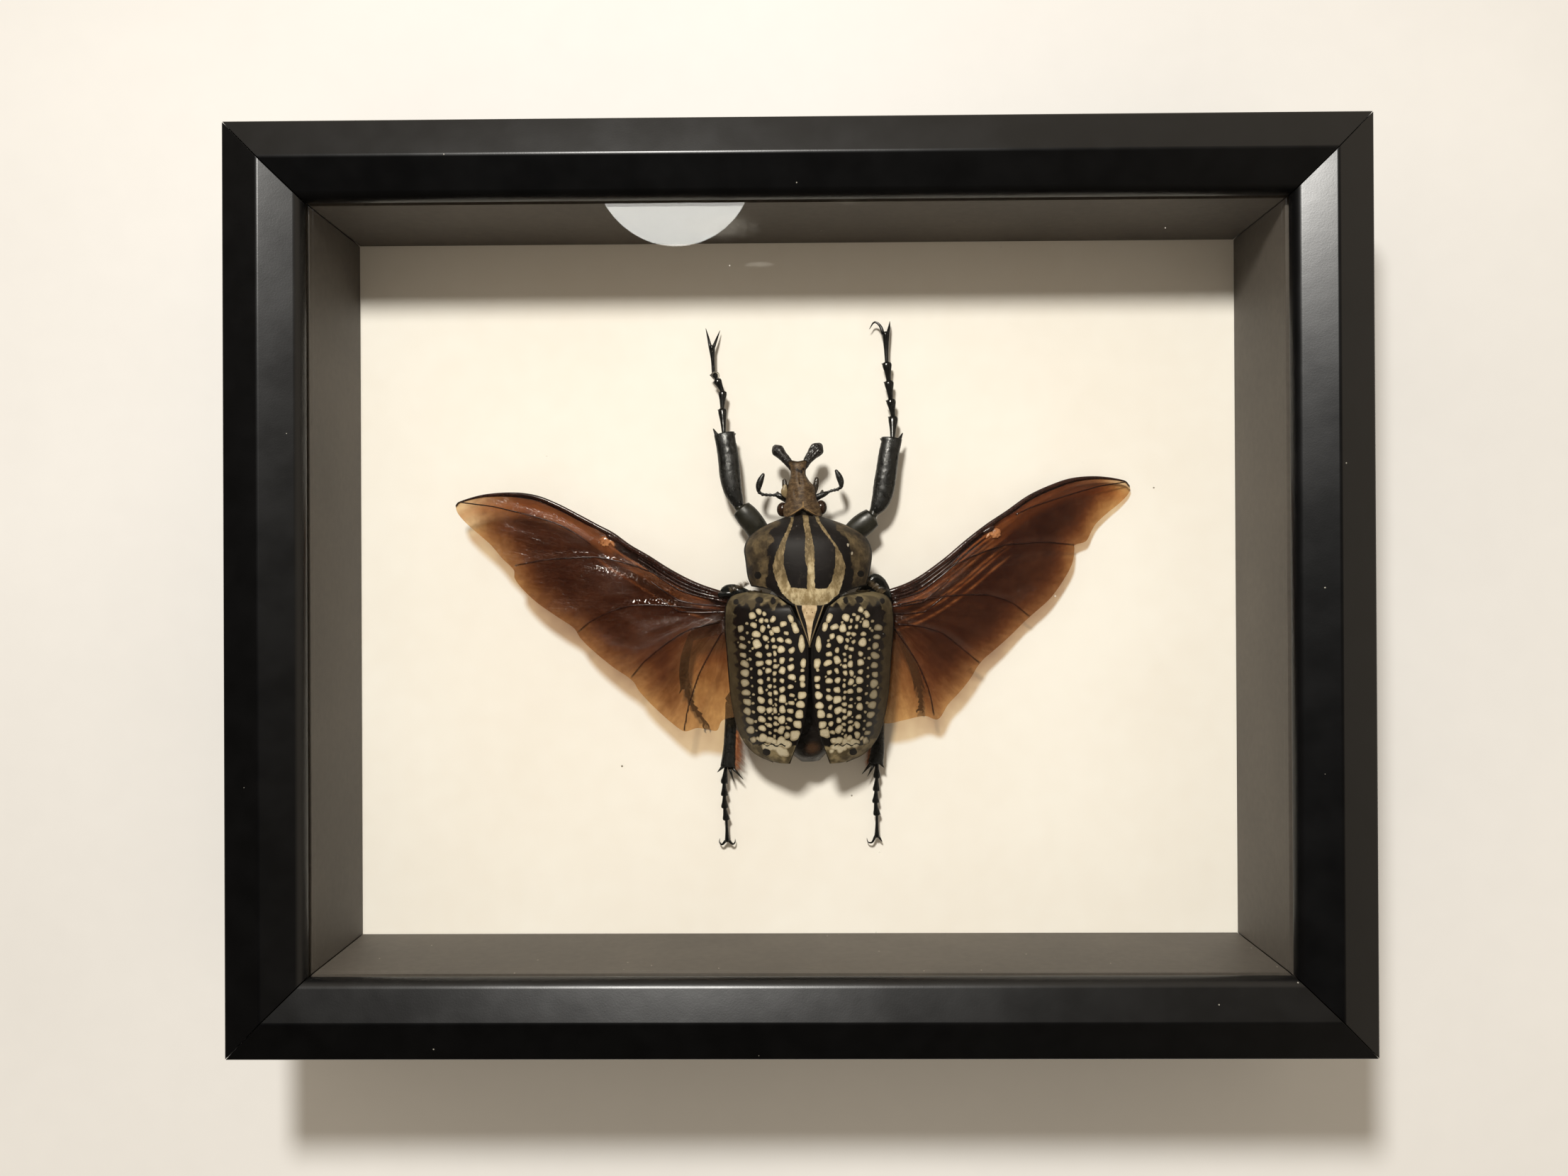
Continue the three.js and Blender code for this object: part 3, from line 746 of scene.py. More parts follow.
def lineDistance(x, y, points):  # distance in mm to an open line
    nearest = np.full(x.shape, 1e9)
    for (ax, ay), (bx, by) in zip(points[:-1], points[1:]):
        lengthSquared = max((bx - ax) ** 2 + (by - ay) ** 2, 1e-9)
        share = np.clip(((x - ax) * (bx - ax) + (y - ay) * (by - ay)) / lengthSquared, 0, 1)
        nearest = np.minimum(nearest, np.hypot(x - ax - share * (bx - ax), y - ay - share * (by - ay)))
    return nearest


def dotField(x, y, dots):  # distance in mm into the nearest dot: centre, radius and squeeze both ways
    depths = []
    for cx, cy, radius, across, along in dots:
        depths.append(radius - np.hypot((x - cx) * across, (y - cy) * along))
    return np.maximum.reduce(depths)


def buildRagged():  # turns a stored distance into a mask with a torn, velvety edge
    group, given, result = newGroup(
        "ragged edge",
        [("Field", "Float", 0.0), ("Vector", "Vector", None), ("Size", "Float", 0.6),
         ("Wander", "Float", 0.5), ("Softness", "Float", 0.1)],
        [("Mask", "Float")],
    )
    torn = addNode(group, "TexNoise", {"Vector": given["Vector"],
                                       "Scale": calc(group, "DIVIDE", 1.0, given["Size"]),
                                       "Detail": 4.0, "Roughness": 0.65})
    wander = calc(group, "MULTIPLY", calc(group, "SUBTRACT", torn.outputs[0], 0.5), given["Wander"])
    moved = calc(group, "ADD", given["Field"], wander)
    low = calc(group, "MULTIPLY", given["Softness"], -1.0)
    group.links.new(stepUp(group, moved, low, given["Softness"]), result["Mask"])
    return group


ragged = buildRagged()


def tornMask(tree, value, where, size, wander, softness):  # in mm
    return useGroup(tree, ragged, Field=value, Vector=where, Size=size, Wander=wander,
                    Softness=softness)["Mask"]


shellColours = {
    "black": (paint(14, 11, 11), paint(26, 21, 20)),
    "cream": (paint(196, 184, 154), paint(232, 223, 198)),
}


def twoTone(tree, tone, name):  # from the dark to the pale shade of a shell colour
    dark, pale = shellColours[name]
    return ramp(tree, tone, [(0.35, dark), (0.65, pale)])


# wing cases

elytron = {
    "middle": 3.2,  # where the seam between the two runs; the outlines count from it
    "width": 21.5,
    "seam": [(5.5, -46.4), (3.8, -42.1), (1.9, -36.2), (0.7, -29), (0.35, -22), (0.35, -15.6), (2.3, -10),
             (5.0, -4.8)],
    "rim": [(9.8, -46.2), (13.2, -45.0), (15.9, -43.0), (18.1, -40.0), (19.6, -36.0), (21, -29),
            (21.9, -18), (22.5, -8), (20.9, -2.4), (14.4, -0.6)],
    "front": [(5.0, -4.8), (9.2, -1.9), (14.4, -0.6)],
    "crown": [(-46.5, 14.4), (-42, 17.9), (-34, 22.3), (-22, 25.2), (-8, 25.8), (-4, 24.3), (-0.6, 19)],
    "edge": [(-46.5, 12.1), (-38, 11.6), (-5, 12.6), (-0.6, 14.5)],
    "dots": [(19.2, -3.6, 0.75, 1, 1), (11.4, -43.2, 1.05, 1, 1), (12.9, -3.2, 0.9, 1 / 1.2, 1),
             (9.3, -3.4, 0.7, 1, 1 / 1.3)],
    "grid": (150, 330),
    "thickness": 0.45,
    # share of the way from seam to rim, half width, half length, step, tone, first and last place
    "rows": [
        (0.205, 0.74, 0.64, 2.2, 1.0, -9.2, -43.4), (0.312, 0.78, 0.82, 2.5, 1.0, -7.2, -43.4),
        (0.40, 0.47, 0.46, 1.55, 0.97, -6.6, -43.0), (0.475, 0.62, 0.58, 1.95, 0.97, -5.6, -43.0),
        (0.59, 0.92, 0.80, 2.35, 0.93, -6.6, -42.4), (0.69, 0.34, 0.32, 2.2, 0.8, -8.5, -41.0),
        (0.775, 0.98, 0.74, 2.3, 0.58, -10.0, -40.8),
    ],
    "seamRow": [  # place, half width, half length, tilt
        (-7.7, 0.62, 1.15, 0.5), (-10.0, 0.72, 1.25, 0.35), (-14.6, 0.78, 2.5, 0.0),
        (-19.0, 0.8, 1.25, 0.0), (-21.3, 0.45, 0.45, 0.0), (-23.0, 0.75, 0.8, 0.0),
        (-25.0, 0.7, 0.75, 0.0), (-27.5, 1.05, 1.0, 0.0), (-30.2, 1.05, 1.05, 0.0),
        (-32.8, 1.0, 1.0, 0.0), (-35.2, 1.0, 1.05, 0.0), (-37.8, 1.15, 1.15, 0.0),
    ],
}


def spotList(side, seed):  # pale spots in rows: [x, y, half width, half length, turn, tone, phase]
    chance = random.Random(seed)
    middle = elytron["middle"]
    seam, rim = (byCurve([(y, dx) for dx, y in elytron[key]]) for key in ("seam", "rim"))
    spots = []
    for place, half, long, tilt in elytron["seamRow"]:
        y = place + chance.uniform(-0.35, 0.35)
        dx = seam(y) + 1.55 + chance.uniform(-0.1, 0.1)
        grow = chance.uniform(0.88, 1.1)
        spots.append((middle + side * dx, y, half * grow, long * grow, -side * tilt, 1.0,
                      chance.uniform(0, 6)))
    for share, half, long, step, tone, first, last in elytron["rows"]:
        y = first - chance.uniform(0, step * 0.4)
        while y > last:
            grow = chance.uniform(0.74, 1.34)
            stretch = chance.choice([0.8, 0.95, 1.0, 1.1, 1.25, 1.55]) if half > 0.4 else 1.0
            wide = seam(y) + share * (rim(y) - seam(y)) + chance.uniform(-0.22, 0.22)
            turn = chance.uniform(-0.5, 0.5)
            shade = tone * chance.uniform(0.9, 1.05)
            spots.append((middle + side * wide, y, half * grow / stretch**0.4, long * grow * stretch**0.5,
                          turn, shade, chance.uniform(0, 6)))
            if chance.random() < 0.35 and half > 0.55:  # a small satellite between two large ones
                small = chance.uniform(0.2, 0.34)
                drift = side * chance.choice([-1, 1]) * (half + small * 0.6)
                spots.append((middle + side * wide + drift, y - step * 0.5, small, small,
                              0.0, shade, 0.0))
            y -= step * (0.62 + 0.4 * grow * stretch**0.4)
    return spots


def spotFields(x, y, spots):
    level, tone = np.full_like(x, -1.0), np.full_like(x, 0.9)
    for cx, cy, half, long, turn, shade, phase in spots:
        reach = max(half, long) * 1.5 + 0.3
        near = np.flatnonzero((abs(x - cx) < reach) & (abs(y - cy) < reach))
        dx, dy = x[near] - cx, y[near] - cy
        px, py = dx * math.cos(turn) + dy * math.sin(turn), dy * math.cos(turn) - dx * math.sin(turn)
        angle = np.arctan2(py, px)
        wobble = 1 + 0.08 * np.sin(2 * angle + phase) + 0.06 * np.sin(3 * angle + 2 * phase)
        square = 2.5 + 0.6 * math.sin(3 * phase)
        size = (abs(px / half) ** square + abs(py / long) ** square) ** (1 / square) / wobble
        value = (1 - size) * min(half, long)
        better = value > level[near]
        level[near[better]] = value[better]
        tone[near[better]] = shade
    return level, tone


def patternedShell(name):  # velvety black shell; the masks come from the mesh
    material, tree, shader = newMaterial(name, Specular_IOR_Level=0.22)
    where = inMillimetres(tree)
    soft = useGroup(tree, mottle, Vector=where, Large=7.0, Small=0.5, Share=0.45)["Value"]
    grain = cloud(tree, where, 0.16, detail=3.0, rough=0.7)
    tone = weigh(tree, soft, 0.6, grain, 0.4)
    base = twoTone(tree, tone, "black")
    return material, tree, shader, where, tone, base


def elytronMaterial():
    material, tree, shader, where, tone, base = patternedShell("wing case shell")
    spot = tornMask(tree, field(tree, "spot"), where, size=0.5, wander=0.12, softness=0.03)
    heart = stepUp(tree, field(tree, "spot"), 0.02, 0.5)
    cream = twoTone(tree, tone, "cream")
    rimmed = blend(tree, heart, paint(164, 150, 120), cream)
    dimmed = blend(tree, field(tree, "tone"), paint(70, 62, 44), rimmed)
    colour = blend(tree, spot, base, dimmed)
    khaki = tornMask(tree, field(tree, "khaki"), where, size=0.9, wander=1.4, softness=0.3)
    patchy = blend(tree, stepUp(tree, cloud(tree, where, 3.0, detail=4.0), 0.4, 0.65), paint(92, 81, 59),
                   paint(168, 152, 116))
    rimDull = ramp(tree, tone, [(0.35, paint(44, 37, 26)), (0.62, paint(70, 60, 43))])
    rimTone = blend(tree, field(tree, "pale"), rimDull, patchy)
    colour = blend(tree, khaki, colour, rimTone)
    whole = calc(tree, "MULTIPLY", spot, field(tree, "fuse"))
    colour = blend(tree, whole, colour, rimmed)
    dark = tornMask(tree, field(tree, "dark"), where, size=0.9, wander=0.8, softness=0.08)
    colour = blend(tree, dark, colour, base)
    tree.links.new(colour, shader["Base Color"])
    rough = blend(tree, calc(tree, "MAXIMUM", spot, khaki), (0.42,) * 3 + (1,), (0.58,) * 3 + (1,))
    tree.links.new(addNode(tree, "SeparateColor", {0: rough}).outputs[0], shader["Roughness"])
    skin = cloud(tree, where, 0.3, detail=4.0, rough=0.7)
    dents = useGroup(tree, pits, Vector=where, Spacing=0.55, Width=0.4)["Height"]
    height = weigh(tree, skin, 0.5, dents, 0.25)
    tree.links.new(bump(tree, height, 0.05, 0.7), shader["Normal"])
    return material


def makeElytron(name, node, side, seed, material):
    surface = patch([elytron["seam"][0], elytron["rim"][0]], elytron["front"],
                    elytron["seam"], elytron["rim"])
    crown, edge = byCurve(elytron["crown"]), byCurve(elytron["edge"])
    middle, width = elytron["middle"], elytron["width"]

    def place(u, v):
        flat = surface(u, v)
        dx, y = flat[:, 0], flat[:, 1]
        h = crown(y) + (edge(y) - crown(y)) * u**3
        seamRib = 0.22 * np.exp(-((u * width - 0.35) / 0.3) ** 2)
        rimBead = 0.2 * np.exp(-(((1 - u) * width - 0.3) / 0.25) ** 2)
        shoulder = 0.55 * np.exp(-((dx - 17) / 2.6) ** 2 - ((y + 5.0) / 2.8) ** 2)
        apex = 0.5 * np.exp(-((dx - 12.5) / 2.6) ** 2 - ((y + 40) / 3) ** 2)
        return np.stack([middle + side * dx, y, h + seamRib + rimBead + shoulder + apex], -1)

    mesh, u, v, spots = gridMesh(name, *elytron["grid"], place)
    x, y = spots[:, 0], spots[:, 1]
    dx = (x - middle) * side
    level, tone = spotFields(x, y, spotList(side, seed))
    margin = (u - 0.875) * width + 0.4 * np.sin(y * 2.2 + side) + 0.2 * np.sin(y * 4.1)
    wave = 0.5 * np.sin(dx * 1.4 + side)
    front = (y + 4.6 + 0.5 * np.sin(dx * 1.1 + seed) + 0.6 * np.sin(dx * 2.3 + side)) * 0.8
    apexZone = -(y + 41.3 + wave * 0.5)
    khaki = np.maximum(np.maximum(margin, front), apexZone)
    zigzag = 0.2 - abs(y + 41.0 + 0.28 * np.sin(dx * 2.6 + seed))
    zigzag = np.where((dx > 6.3) & (dx < 13.6), zigzag, zigzag - 2)
    seamEdge = 0.42 - u * width
    rimEdge = 0.3 - (1 - u) * width
    dark = np.maximum.reduce([dotField(dx, y, elytron["dots"]), zigzag, seamEdge, rimEdge])
    level = level + 0.42 * np.clip((-38.6 - y) / 1.2, 0, 1) * (u < 0.72)
    carry(mesh, "spot", level)
    carry(mesh, "tone", tone)
    carry(mesh, "khaki", khaki)
    carry(mesh, "pale",
          np.clip(np.where(y < -40, 1.0, np.where(y > -7, 0.55, 0.15)) * (1 - u**4 * 0.7), 0, 1))
    carry(mesh, "fuse", np.clip((-38.5 - y) / 2.5, 0, 1) * (u < 0.8))
    carry(mesh, "dark", dark)
    piece = makePiece(name, mesh, material, "patterned_shell", node)
    thicken(piece, elytron["thickness"])


def makeElytra():
    material = elytronMaterial()
    makeElytron("wing_case_left", "elytron_left", -1, 4, material)
    makeElytron("wing_case_right", "elytron_right", 1, 11, material)


makeElytra()
print("stage: wing cases")


# the shield behind the head

pronotum = {
    "rear": [(-12.0, 0.4), (-7.3, -0.5), (-4.1, -2.7), (-0.4, -4.9), (3.3, -5.1), (7.1, -4.9),
             (11.4, -1.9), (14.7, -0.4), (18.3, 0.5)],
    "front": [(-2.9, 18.7), (-1.0, 18.5), (1.9, 19.0), (4.6, 18.6), (6.2, 18.9)],
    "left": [(-12.0, 0.4), (-13.0, 3.0), (-13.6, 7.2), (-13.9, 10.6), (-12.3, 13.8), (-8.4, 16.5),
             (-2.9, 18.7)],
    "right": [(18.3, 0.5), (19.3, 4.3), (19.9, 8.5), (19.3, 11.6), (17.3, 14.1), (12.8, 16.6),
              (6.2, 18.9)],
    "crown": [(0, 23.4), (0.12, 24.4), (0.35, 25.0), (0.6, 23.8), (0.85, 20.0), (1, 16.2)],
    "edge": [(0, 15.5), (0.3, 13.5), (0.8, 13.2), (1, 13.8)],
    "dots": [(-10.1, 3.2, 0.95, 1, 1), (16.6, 3.5, 0.85, 0.9, 1)],
    "chips": [(13.2, 10.9, 0.3, 1, 0.7), (14.2, 8.7, 0.26, 1, 0.7), (3.0, 12.3, 0.16, 1, 1)],
    "grid": (200, 170),
    "thickness": 0.5,
    "lyre": [(-1.5, 19.3), (-1.5, 17.5), (-2.4, 15.0), (-4.0, 12.1), (-5.3, 9.2), (-6.3, 5.8),
             (-6.0, 3.8), (-5.1, 1.3), (-3.8, -1.6), (-0.4, -4.5), (3.4, -4.8), (7.4, -4.5), (10.8, -1.5),
             (11.8, 1.6), (12.6, 5.2), (11.9, 7.8), (10.6, 10.3), (8.3, 13.6), (6.2, 16.8), (5.6, 19.4),
             (4.8, 19.2), (5.2, 17.2), (6.4, 15.1), (8.4, 12.2), (9.8, 9.9), (9.7, 7.8), (9.7, 5.6),
             (8.8, 1.3), (7.6, -0.3), (4.6, -0.3), (4.5, 2.3), (4.65, 7.8), (4.6, 10.0), (3.9, 13.6),
             (3.2, 16.5), (3.1, 19.6), (1.6, 19.6), (1.8, 16.1), (2.2, 13.2), (1.95, 10.3), (2.0, 6.7),
             (2.65, 5.0), (2.6, -0.4), (-1.6, 0.0), (-2.4, 2.3), (-3.3, 6.0), (-3.1, 8.9), (-2.6, 11.6),
             (-1.5, 15.0), (-0.8, 17.5), (-0.7, 19.2)],
    "sideLeft": [(-4.9, 16.3), (-7.1, 14.1), (-6.2, 12.1), (-8.0, 10.8), (-7.6, 8.9), (-7.3, 7.0),
                 (-8.0, 4.1), (-8.4, 2.0), (-7.2, -0.6), (-16, -2), (-16, 20), (-5, 20)],
    "sideRight": [(10.3, 15.6), (13.0, 12.8), (14.3, 10.3), (14.0, 5.2), (14.9, 3.4), (14.2, -0.7),
                  (22, -2), (22, 20), (9, 20)],
}


def pronotumMaterial():
    material, tree, shader, where, _, base = patternedShell("shield shell")
    streaky = cloud(tree, inMillimetres(tree, stretch=(1.0, 0.5, 1.0), turn=0.6), 1.6, detail=6.0,
                    rough=0.7)
    pale = blend(tree, stepUp(tree, streaky, 0.4, 0.62), paint(150, 131, 94), paint(208, 192, 156))
    dull = blend(tree, stepUp(tree, streaky, 0.4, 0.62), paint(84, 70, 47), paint(138, 118, 84))
    lyre = blend(tree, field(tree, "light"), dull, pale)
    blotches = cloud(tree, where, 3.4, detail=6.0, rough=0.62)
    side = ramp(tree, blotches, [(0.35, paint(34, 28, 22)), (0.5, paint(68, 57, 41)),
                                 (0.68, paint(108, 93, 67))])
    drift = calc(tree, "MULTIPLY", calc(tree, "SUBTRACT", cloud(tree, where, 2.6, detail=3.0), 0.44), 2.8)
    sideEdge = calc(tree, "ADD", field(tree, "side"), drift)
    sideMask = tornMask(tree, sideEdge, where, size=0.9, wander=0.9, softness=0.2)
    lyreMask = tornMask(tree, field(tree, "lyre"), where, size=0.8, wander=0.7, softness=0.06)
    colour = blend(tree, sideMask, base, side)
    colour = blend(tree, lyreMask, colour, lyre)
    darkMask = tornMask(tree, field(tree, "dark"), where, size=0.7, wander=0.45, softness=0.08)
    colour = blend(tree, darkMask, colour, paint(16, 13, 12))
    chips = tornMask(tree, field(tree, "chips"), where, size=0.4, wander=0.5, softness=0.05)
    colour = blend(tree, chips, colour, paint(178, 170, 152))
    bloom = stepUp(tree, cloud(tree, where, 2.4, detail=5.0, rough=0.7), 0.55, 0.8, 0.0, 0.28)
    colour = blend(tree, bloom, colour, paint(104, 96, 84))
    tree.links.new(colour, shader["Base Color"])
    rough = calc(tree, "ADD", calc(tree, "MULTIPLY", calc(tree, "MAXIMUM", sideMask, lyreMask), 0.1),
                 0.55)
    tree.links.new(rough, shader["Roughness"])
    skin = cloud(tree, where, 0.35, detail=4.0, rough=0.7)
    tree.links.new(bump(tree, skin, 0.05, 0.7), shader["Normal"])
    return material


def makePronotum():
    surface = patch(pronotum["rear"], pronotum["front"], pronotum["left"], pronotum["right"])
    crown, edge = byCurve(pronotum["crown"]), byCurve(pronotum["edge"])

    def place(u, v):
        flat = surface(u, v)
        across = abs(2 * u - 1)
        low, high = edge(v), crown(v)
        h = low + (high - low) * (1 - across**2.5) ** 0.62
        bead = 0.28 * np.exp(-((1 - across) / 0.018) ** 2) + 0.22 * np.exp(-(v / 0.016) ** 2)
        frontLip = 0.2 * np.exp(-((1 - v) / 0.016) ** 2)
        dents = 0.12 * np.exp(-((flat[:, 0] - 2.6) / 0.5) ** 2) * np.clip((v - 0.75) * 4, 0, 1)
        return np.concatenate([flat, (h + bead + frontLip - dents)[:, None]], 1)

    mesh, u, v, spots = gridMesh("shield", *pronotum["grid"], place)
    x, y = spots[:, 0], spots[:, 1]
    slim = 0.14 * np.clip((y - 1) / 6, 0, 1) * np.clip((15 - y) / 3, 0, 1)
    carry(mesh, "lyre", inside(x, y, pronotum["lyre"]) - slim)
    carry(mesh, "side", np.maximum(inside(x, y, pronotum["sideLeft"]),
                                   inside(x, y, pronotum["sideRight"])))
    lowBand = np.clip((3.5 - y) / 5, 0, 1)
    centreBar = np.exp(-((x - 3.9) / 1.2) ** 2) * np.clip((9.5 - y) / 4, 0, 1)
    carry(mesh, "light", np.clip(np.maximum(lowBand, centreBar) + 0.18, 0, 1))
    rimLine = np.maximum(0.42 - (1 - abs(2 * u - 1)) * 16, 0.32 - v * 20)
    carry(mesh, "dark", np.maximum(dotField(x, y, pronotum["dots"]), rimLine))
    carry(mesh, "chips", dotField(x, y, pronotum["chips"]))
    piece = makePiece("shield", mesh, pronotumMaterial(), "patterned_shell", "pronotum")
    thicken(piece, pronotum["thickness"])


makePronotum()
print("stage: shield")


# the small triangle between the wing cases

scutellum = {
    "left": [(3.05, -15.4), (1.9, -11.8), (0.4, -7.6), (-0.6, -4.6)],
    "right": [(3.25, -15.4), (4.4, -11.8), (5.9, -7.6), (7.0, -4.6)],
    "dots": [(2.45, -6.5, 0.17, 1, 1), (3.9, -6.4, 0.17, 1, 1)],
    "grid": (60, 110),
    "thickness": 0.5,
}


def scutellumMaterial():
    material, tree, shader, where, _, base = patternedShell("triangle shell")
    tan = blend(tree, stepUp(tree, cloud(tree, where, 1.4, detail=5.0), 0.35, 0.65), paint(176, 152, 118),
                paint(212, 190, 156))
    wedge = tornMask(tree, field(tree, "wedge"), where, size=0.6, wander=0.2, softness=0.06)
    line = tornMask(tree, field(tree, "line"), where, size=0.6, wander=0.12, softness=0.08)
    dots = tornMask(tree, field(tree, "dots"), where, size=0.4, wander=0.2, softness=0.05)
    colour = blend(tree, wedge, base, tan)
    colour = blend(tree, line, colour, paint(134, 116, 88))
    colour = blend(tree, dots, colour, paint(112, 84, 60))
    tree.links.new(colour, shader["Base Color"])
    shader["Roughness"].default_value = 0.5
    tree.links.new(bump(tree, cloud(tree, where, 0.3, detail=4.0), 0.05, 0.6), shader["Normal"])
    return material


def makeScutellum():
    surface = patch([scutellum["left"][0], scutellum["right"][0]],
                    [scutellum["left"][-1], scutellum["right"][-1]],
                    scutellum["left"], scutellum["right"])

    def place(u, v):
        flat = surface(u, v)
        across = abs(2 * u - 1)
        h = 24.6 + 0.5 * v - 0.35 * across**2 + 0.15 * np.exp(-((1 - across) / 0.08) ** 2)
        return np.concatenate([flat, h[:, None]], 1)

    mesh, u, v, spots = gridMesh("triangle", *scutellum["grid"], place)
    x, y = spots[:, 0], spots[:, 1]
    wide = np.interp(y, [-15.4, -13.8, -9.0, -5.6], [-0.1, 0.1, 0.85, 1.9])
    carry(mesh, "wedge", wide - abs(x - 3.15))
    reach = (1 - abs(2 * u - 1)) * np.interp(y, [-15.4, -5], [0.1, 3.8])
    carry(mesh, "line", 0.14 - abs(reach - 0.3))
    carry(mesh, "dots", dotField(x, y, scutellum["dots"]))
    piece = makePiece("triangle", mesh, scutellumMaterial(), "black_shell", "trunk")
    thicken(piece, scutellum["thickness"])


makeScutellum()
print("stage: triangle")


# the head with its two blunt horns

head = {
    "rear": [(-3.5, 18.9), (-2.2, 18.8), (-0.7, 19.5), (1.0, 20.6), (1.75, 21.0), (2.5, 20.6),
             (4.2, 19.5), (5.6, 18.9), (6.9, 19.0)],
    "front": [(-2.3, 33.5), (-1.2, 33.75), (0.4, 33.5), (2.0, 33.8), (3.0, 33.7)],
    "left": [(-3.5, 18.9), (-3.8, 20.4), (-3.6, 21.8), (-3.0, 23.1), (-2.7, 25.0), (-2.3, 27.3),
             (-1.7, 29.2), (-1.5, 30.4), (-1.7, 32.0), (-2.3, 33.5)],
    "right": [(6.9, 19.0), (6.8, 20.6), (6.4, 22.0), (5.6, 23.3), (5.2, 24.9), (5.0, 26.8), (3.7, 28.2),
              (2.7, 29.7), (2.5, 30.7), (2.7, 32.2), (3.0, 33.7)],
    "grid": (110, 150),
    "thickness": 0.5,
    "crown": [(0, 14.6), (0.3, 14.4), (0.55, 13.8), (0.8, 13.2), (1, 12.6)],
    "edge": [(0, 11.0), (0.4, 10.4), (0.75, 11.2), (1, 11.4)],
    "dimples": [(0.25, 31.2, 0.34, 1, 0.8), (1.35, 30.7, 0.4, 1, 0.8), (0.75, 30.9, 0.3, 1, 0.8),
                (1.9, 31.5, 0.28, 1, 0.8), (0.9, 27.6, 0.25, 1, 0.8)],
    "horns": [
        [(-0.9, 31.6, 11.2, 0.8, 0.7), (-2.2, 33.6, 10.7, 1.15, 0.8), (-3.7, 35.4, 9.9, 1.35, 1.0),
         (-4.9, 36.8, 9.3, 1.72, 1.2), (-5.3, 37.3, 9.1, 1.5, 1.1)],
        [(1.9, 31.8, 11.2, 0.8, 0.7), (3.1, 34.0, 10.7, 1.15, 0.8), (4.3, 35.6, 10.0, 1.5, 1.0),
         (5.5, 37.0, 9.4, 1.95, 1.3), (6.0, 37.6, 9.2, 1.7, 1.2)],
    ],
}


def headMaterial():
    material, tree, shader = newMaterial("head shell", Specular_IOR_Level=0.22)
    where = inMillimetres(tree)
    fibres = cloud(tree, inMillimetres(tree, stretch=(0.6, 1.3, 1.0), turn=0.3), 1.1, detail=7.0,
                   rough=0.75)
    tan = ramp(tree, fibres, [(0.32, paint(44, 34, 25)), (0.5, paint(84, 66, 47)),
                              (0.68, paint(128, 106, 78))])
    front = stepUp(tree, field(tree, "front"), 0.35, 0.8)
    holes = addNode(tree, "TexVoronoi", {"Vector": where, "Scale": 1 / 0.42,
                                         "Randomness": 1.0}).outputs["Distance"]
    pitted = calc(tree, "MULTIPLY", stepUp(tree, holes, 0.16, 0.3, 1.0, 0.0), front)
    colour = blend(tree, pitted, tan, paint(40, 30, 24))
    dimples = tornMask(tree, field(tree, "dimples"), where, size=0.5, wander=0.35, softness=0.12)
    colour = blend(tree, dimples, colour, paint(34, 26, 22))
    rim = tornMask(tree, field(tree, "rim"), where, size=0.5, wander=0.2, softness=0.08)
    colour = blend(tree, rim, colour, paint(34, 26, 20))
    gold = tornMask(tree, field(tree, "gold"), where, size=0.5, wander=0.1, softness=0.06)
    colour = blend(tree, gold, colour, paint(150, 120, 76))
    tree.links.new(colour, shader["Base Color"])
    shader["Roughness"].default_value = 0.5
    height = calc(tree, "SUBTRACT", fibres, calc(tree, "MULTIPLY", pitted, 0.7))
    tree.links.new(bump(tree, height, 0.09, 0.8), shader["Normal"])
    return material


def hornMaterial():  # coarse glossy black with short cross ridges
    material, tree, shader = newMaterial("horn", Roughness=0.24)
    where = inMillimetres(tree)
    ridges = addNode(tree, "TexWave", {"Vector": inMillimetres(tree, turn=0.8), "Scale": 0.42,
                                       "Distortion": 4.0, "Detail": 2.0})
    tone = useGroup(tree, mottle, Vector=where, Large=3.0, Small=0.4, Share=0.4)["Value"]
    tree.links.new(ramp(tree, tone, [(0.3, paint(18, 15, 15)), (0.7, paint(40, 35, 34))]),
                   shader["Base Color"])
    dents = useGroup(tree, pits, Vector=where, Spacing=0.42, Width=0.5)["Height"]
    height = weigh(tree, ridges.outputs["Fac"], 0.7, dents, 0.6)
    tree.links.new(bump(tree, height, 0.14, 0.9), shader["Normal"])
    return material


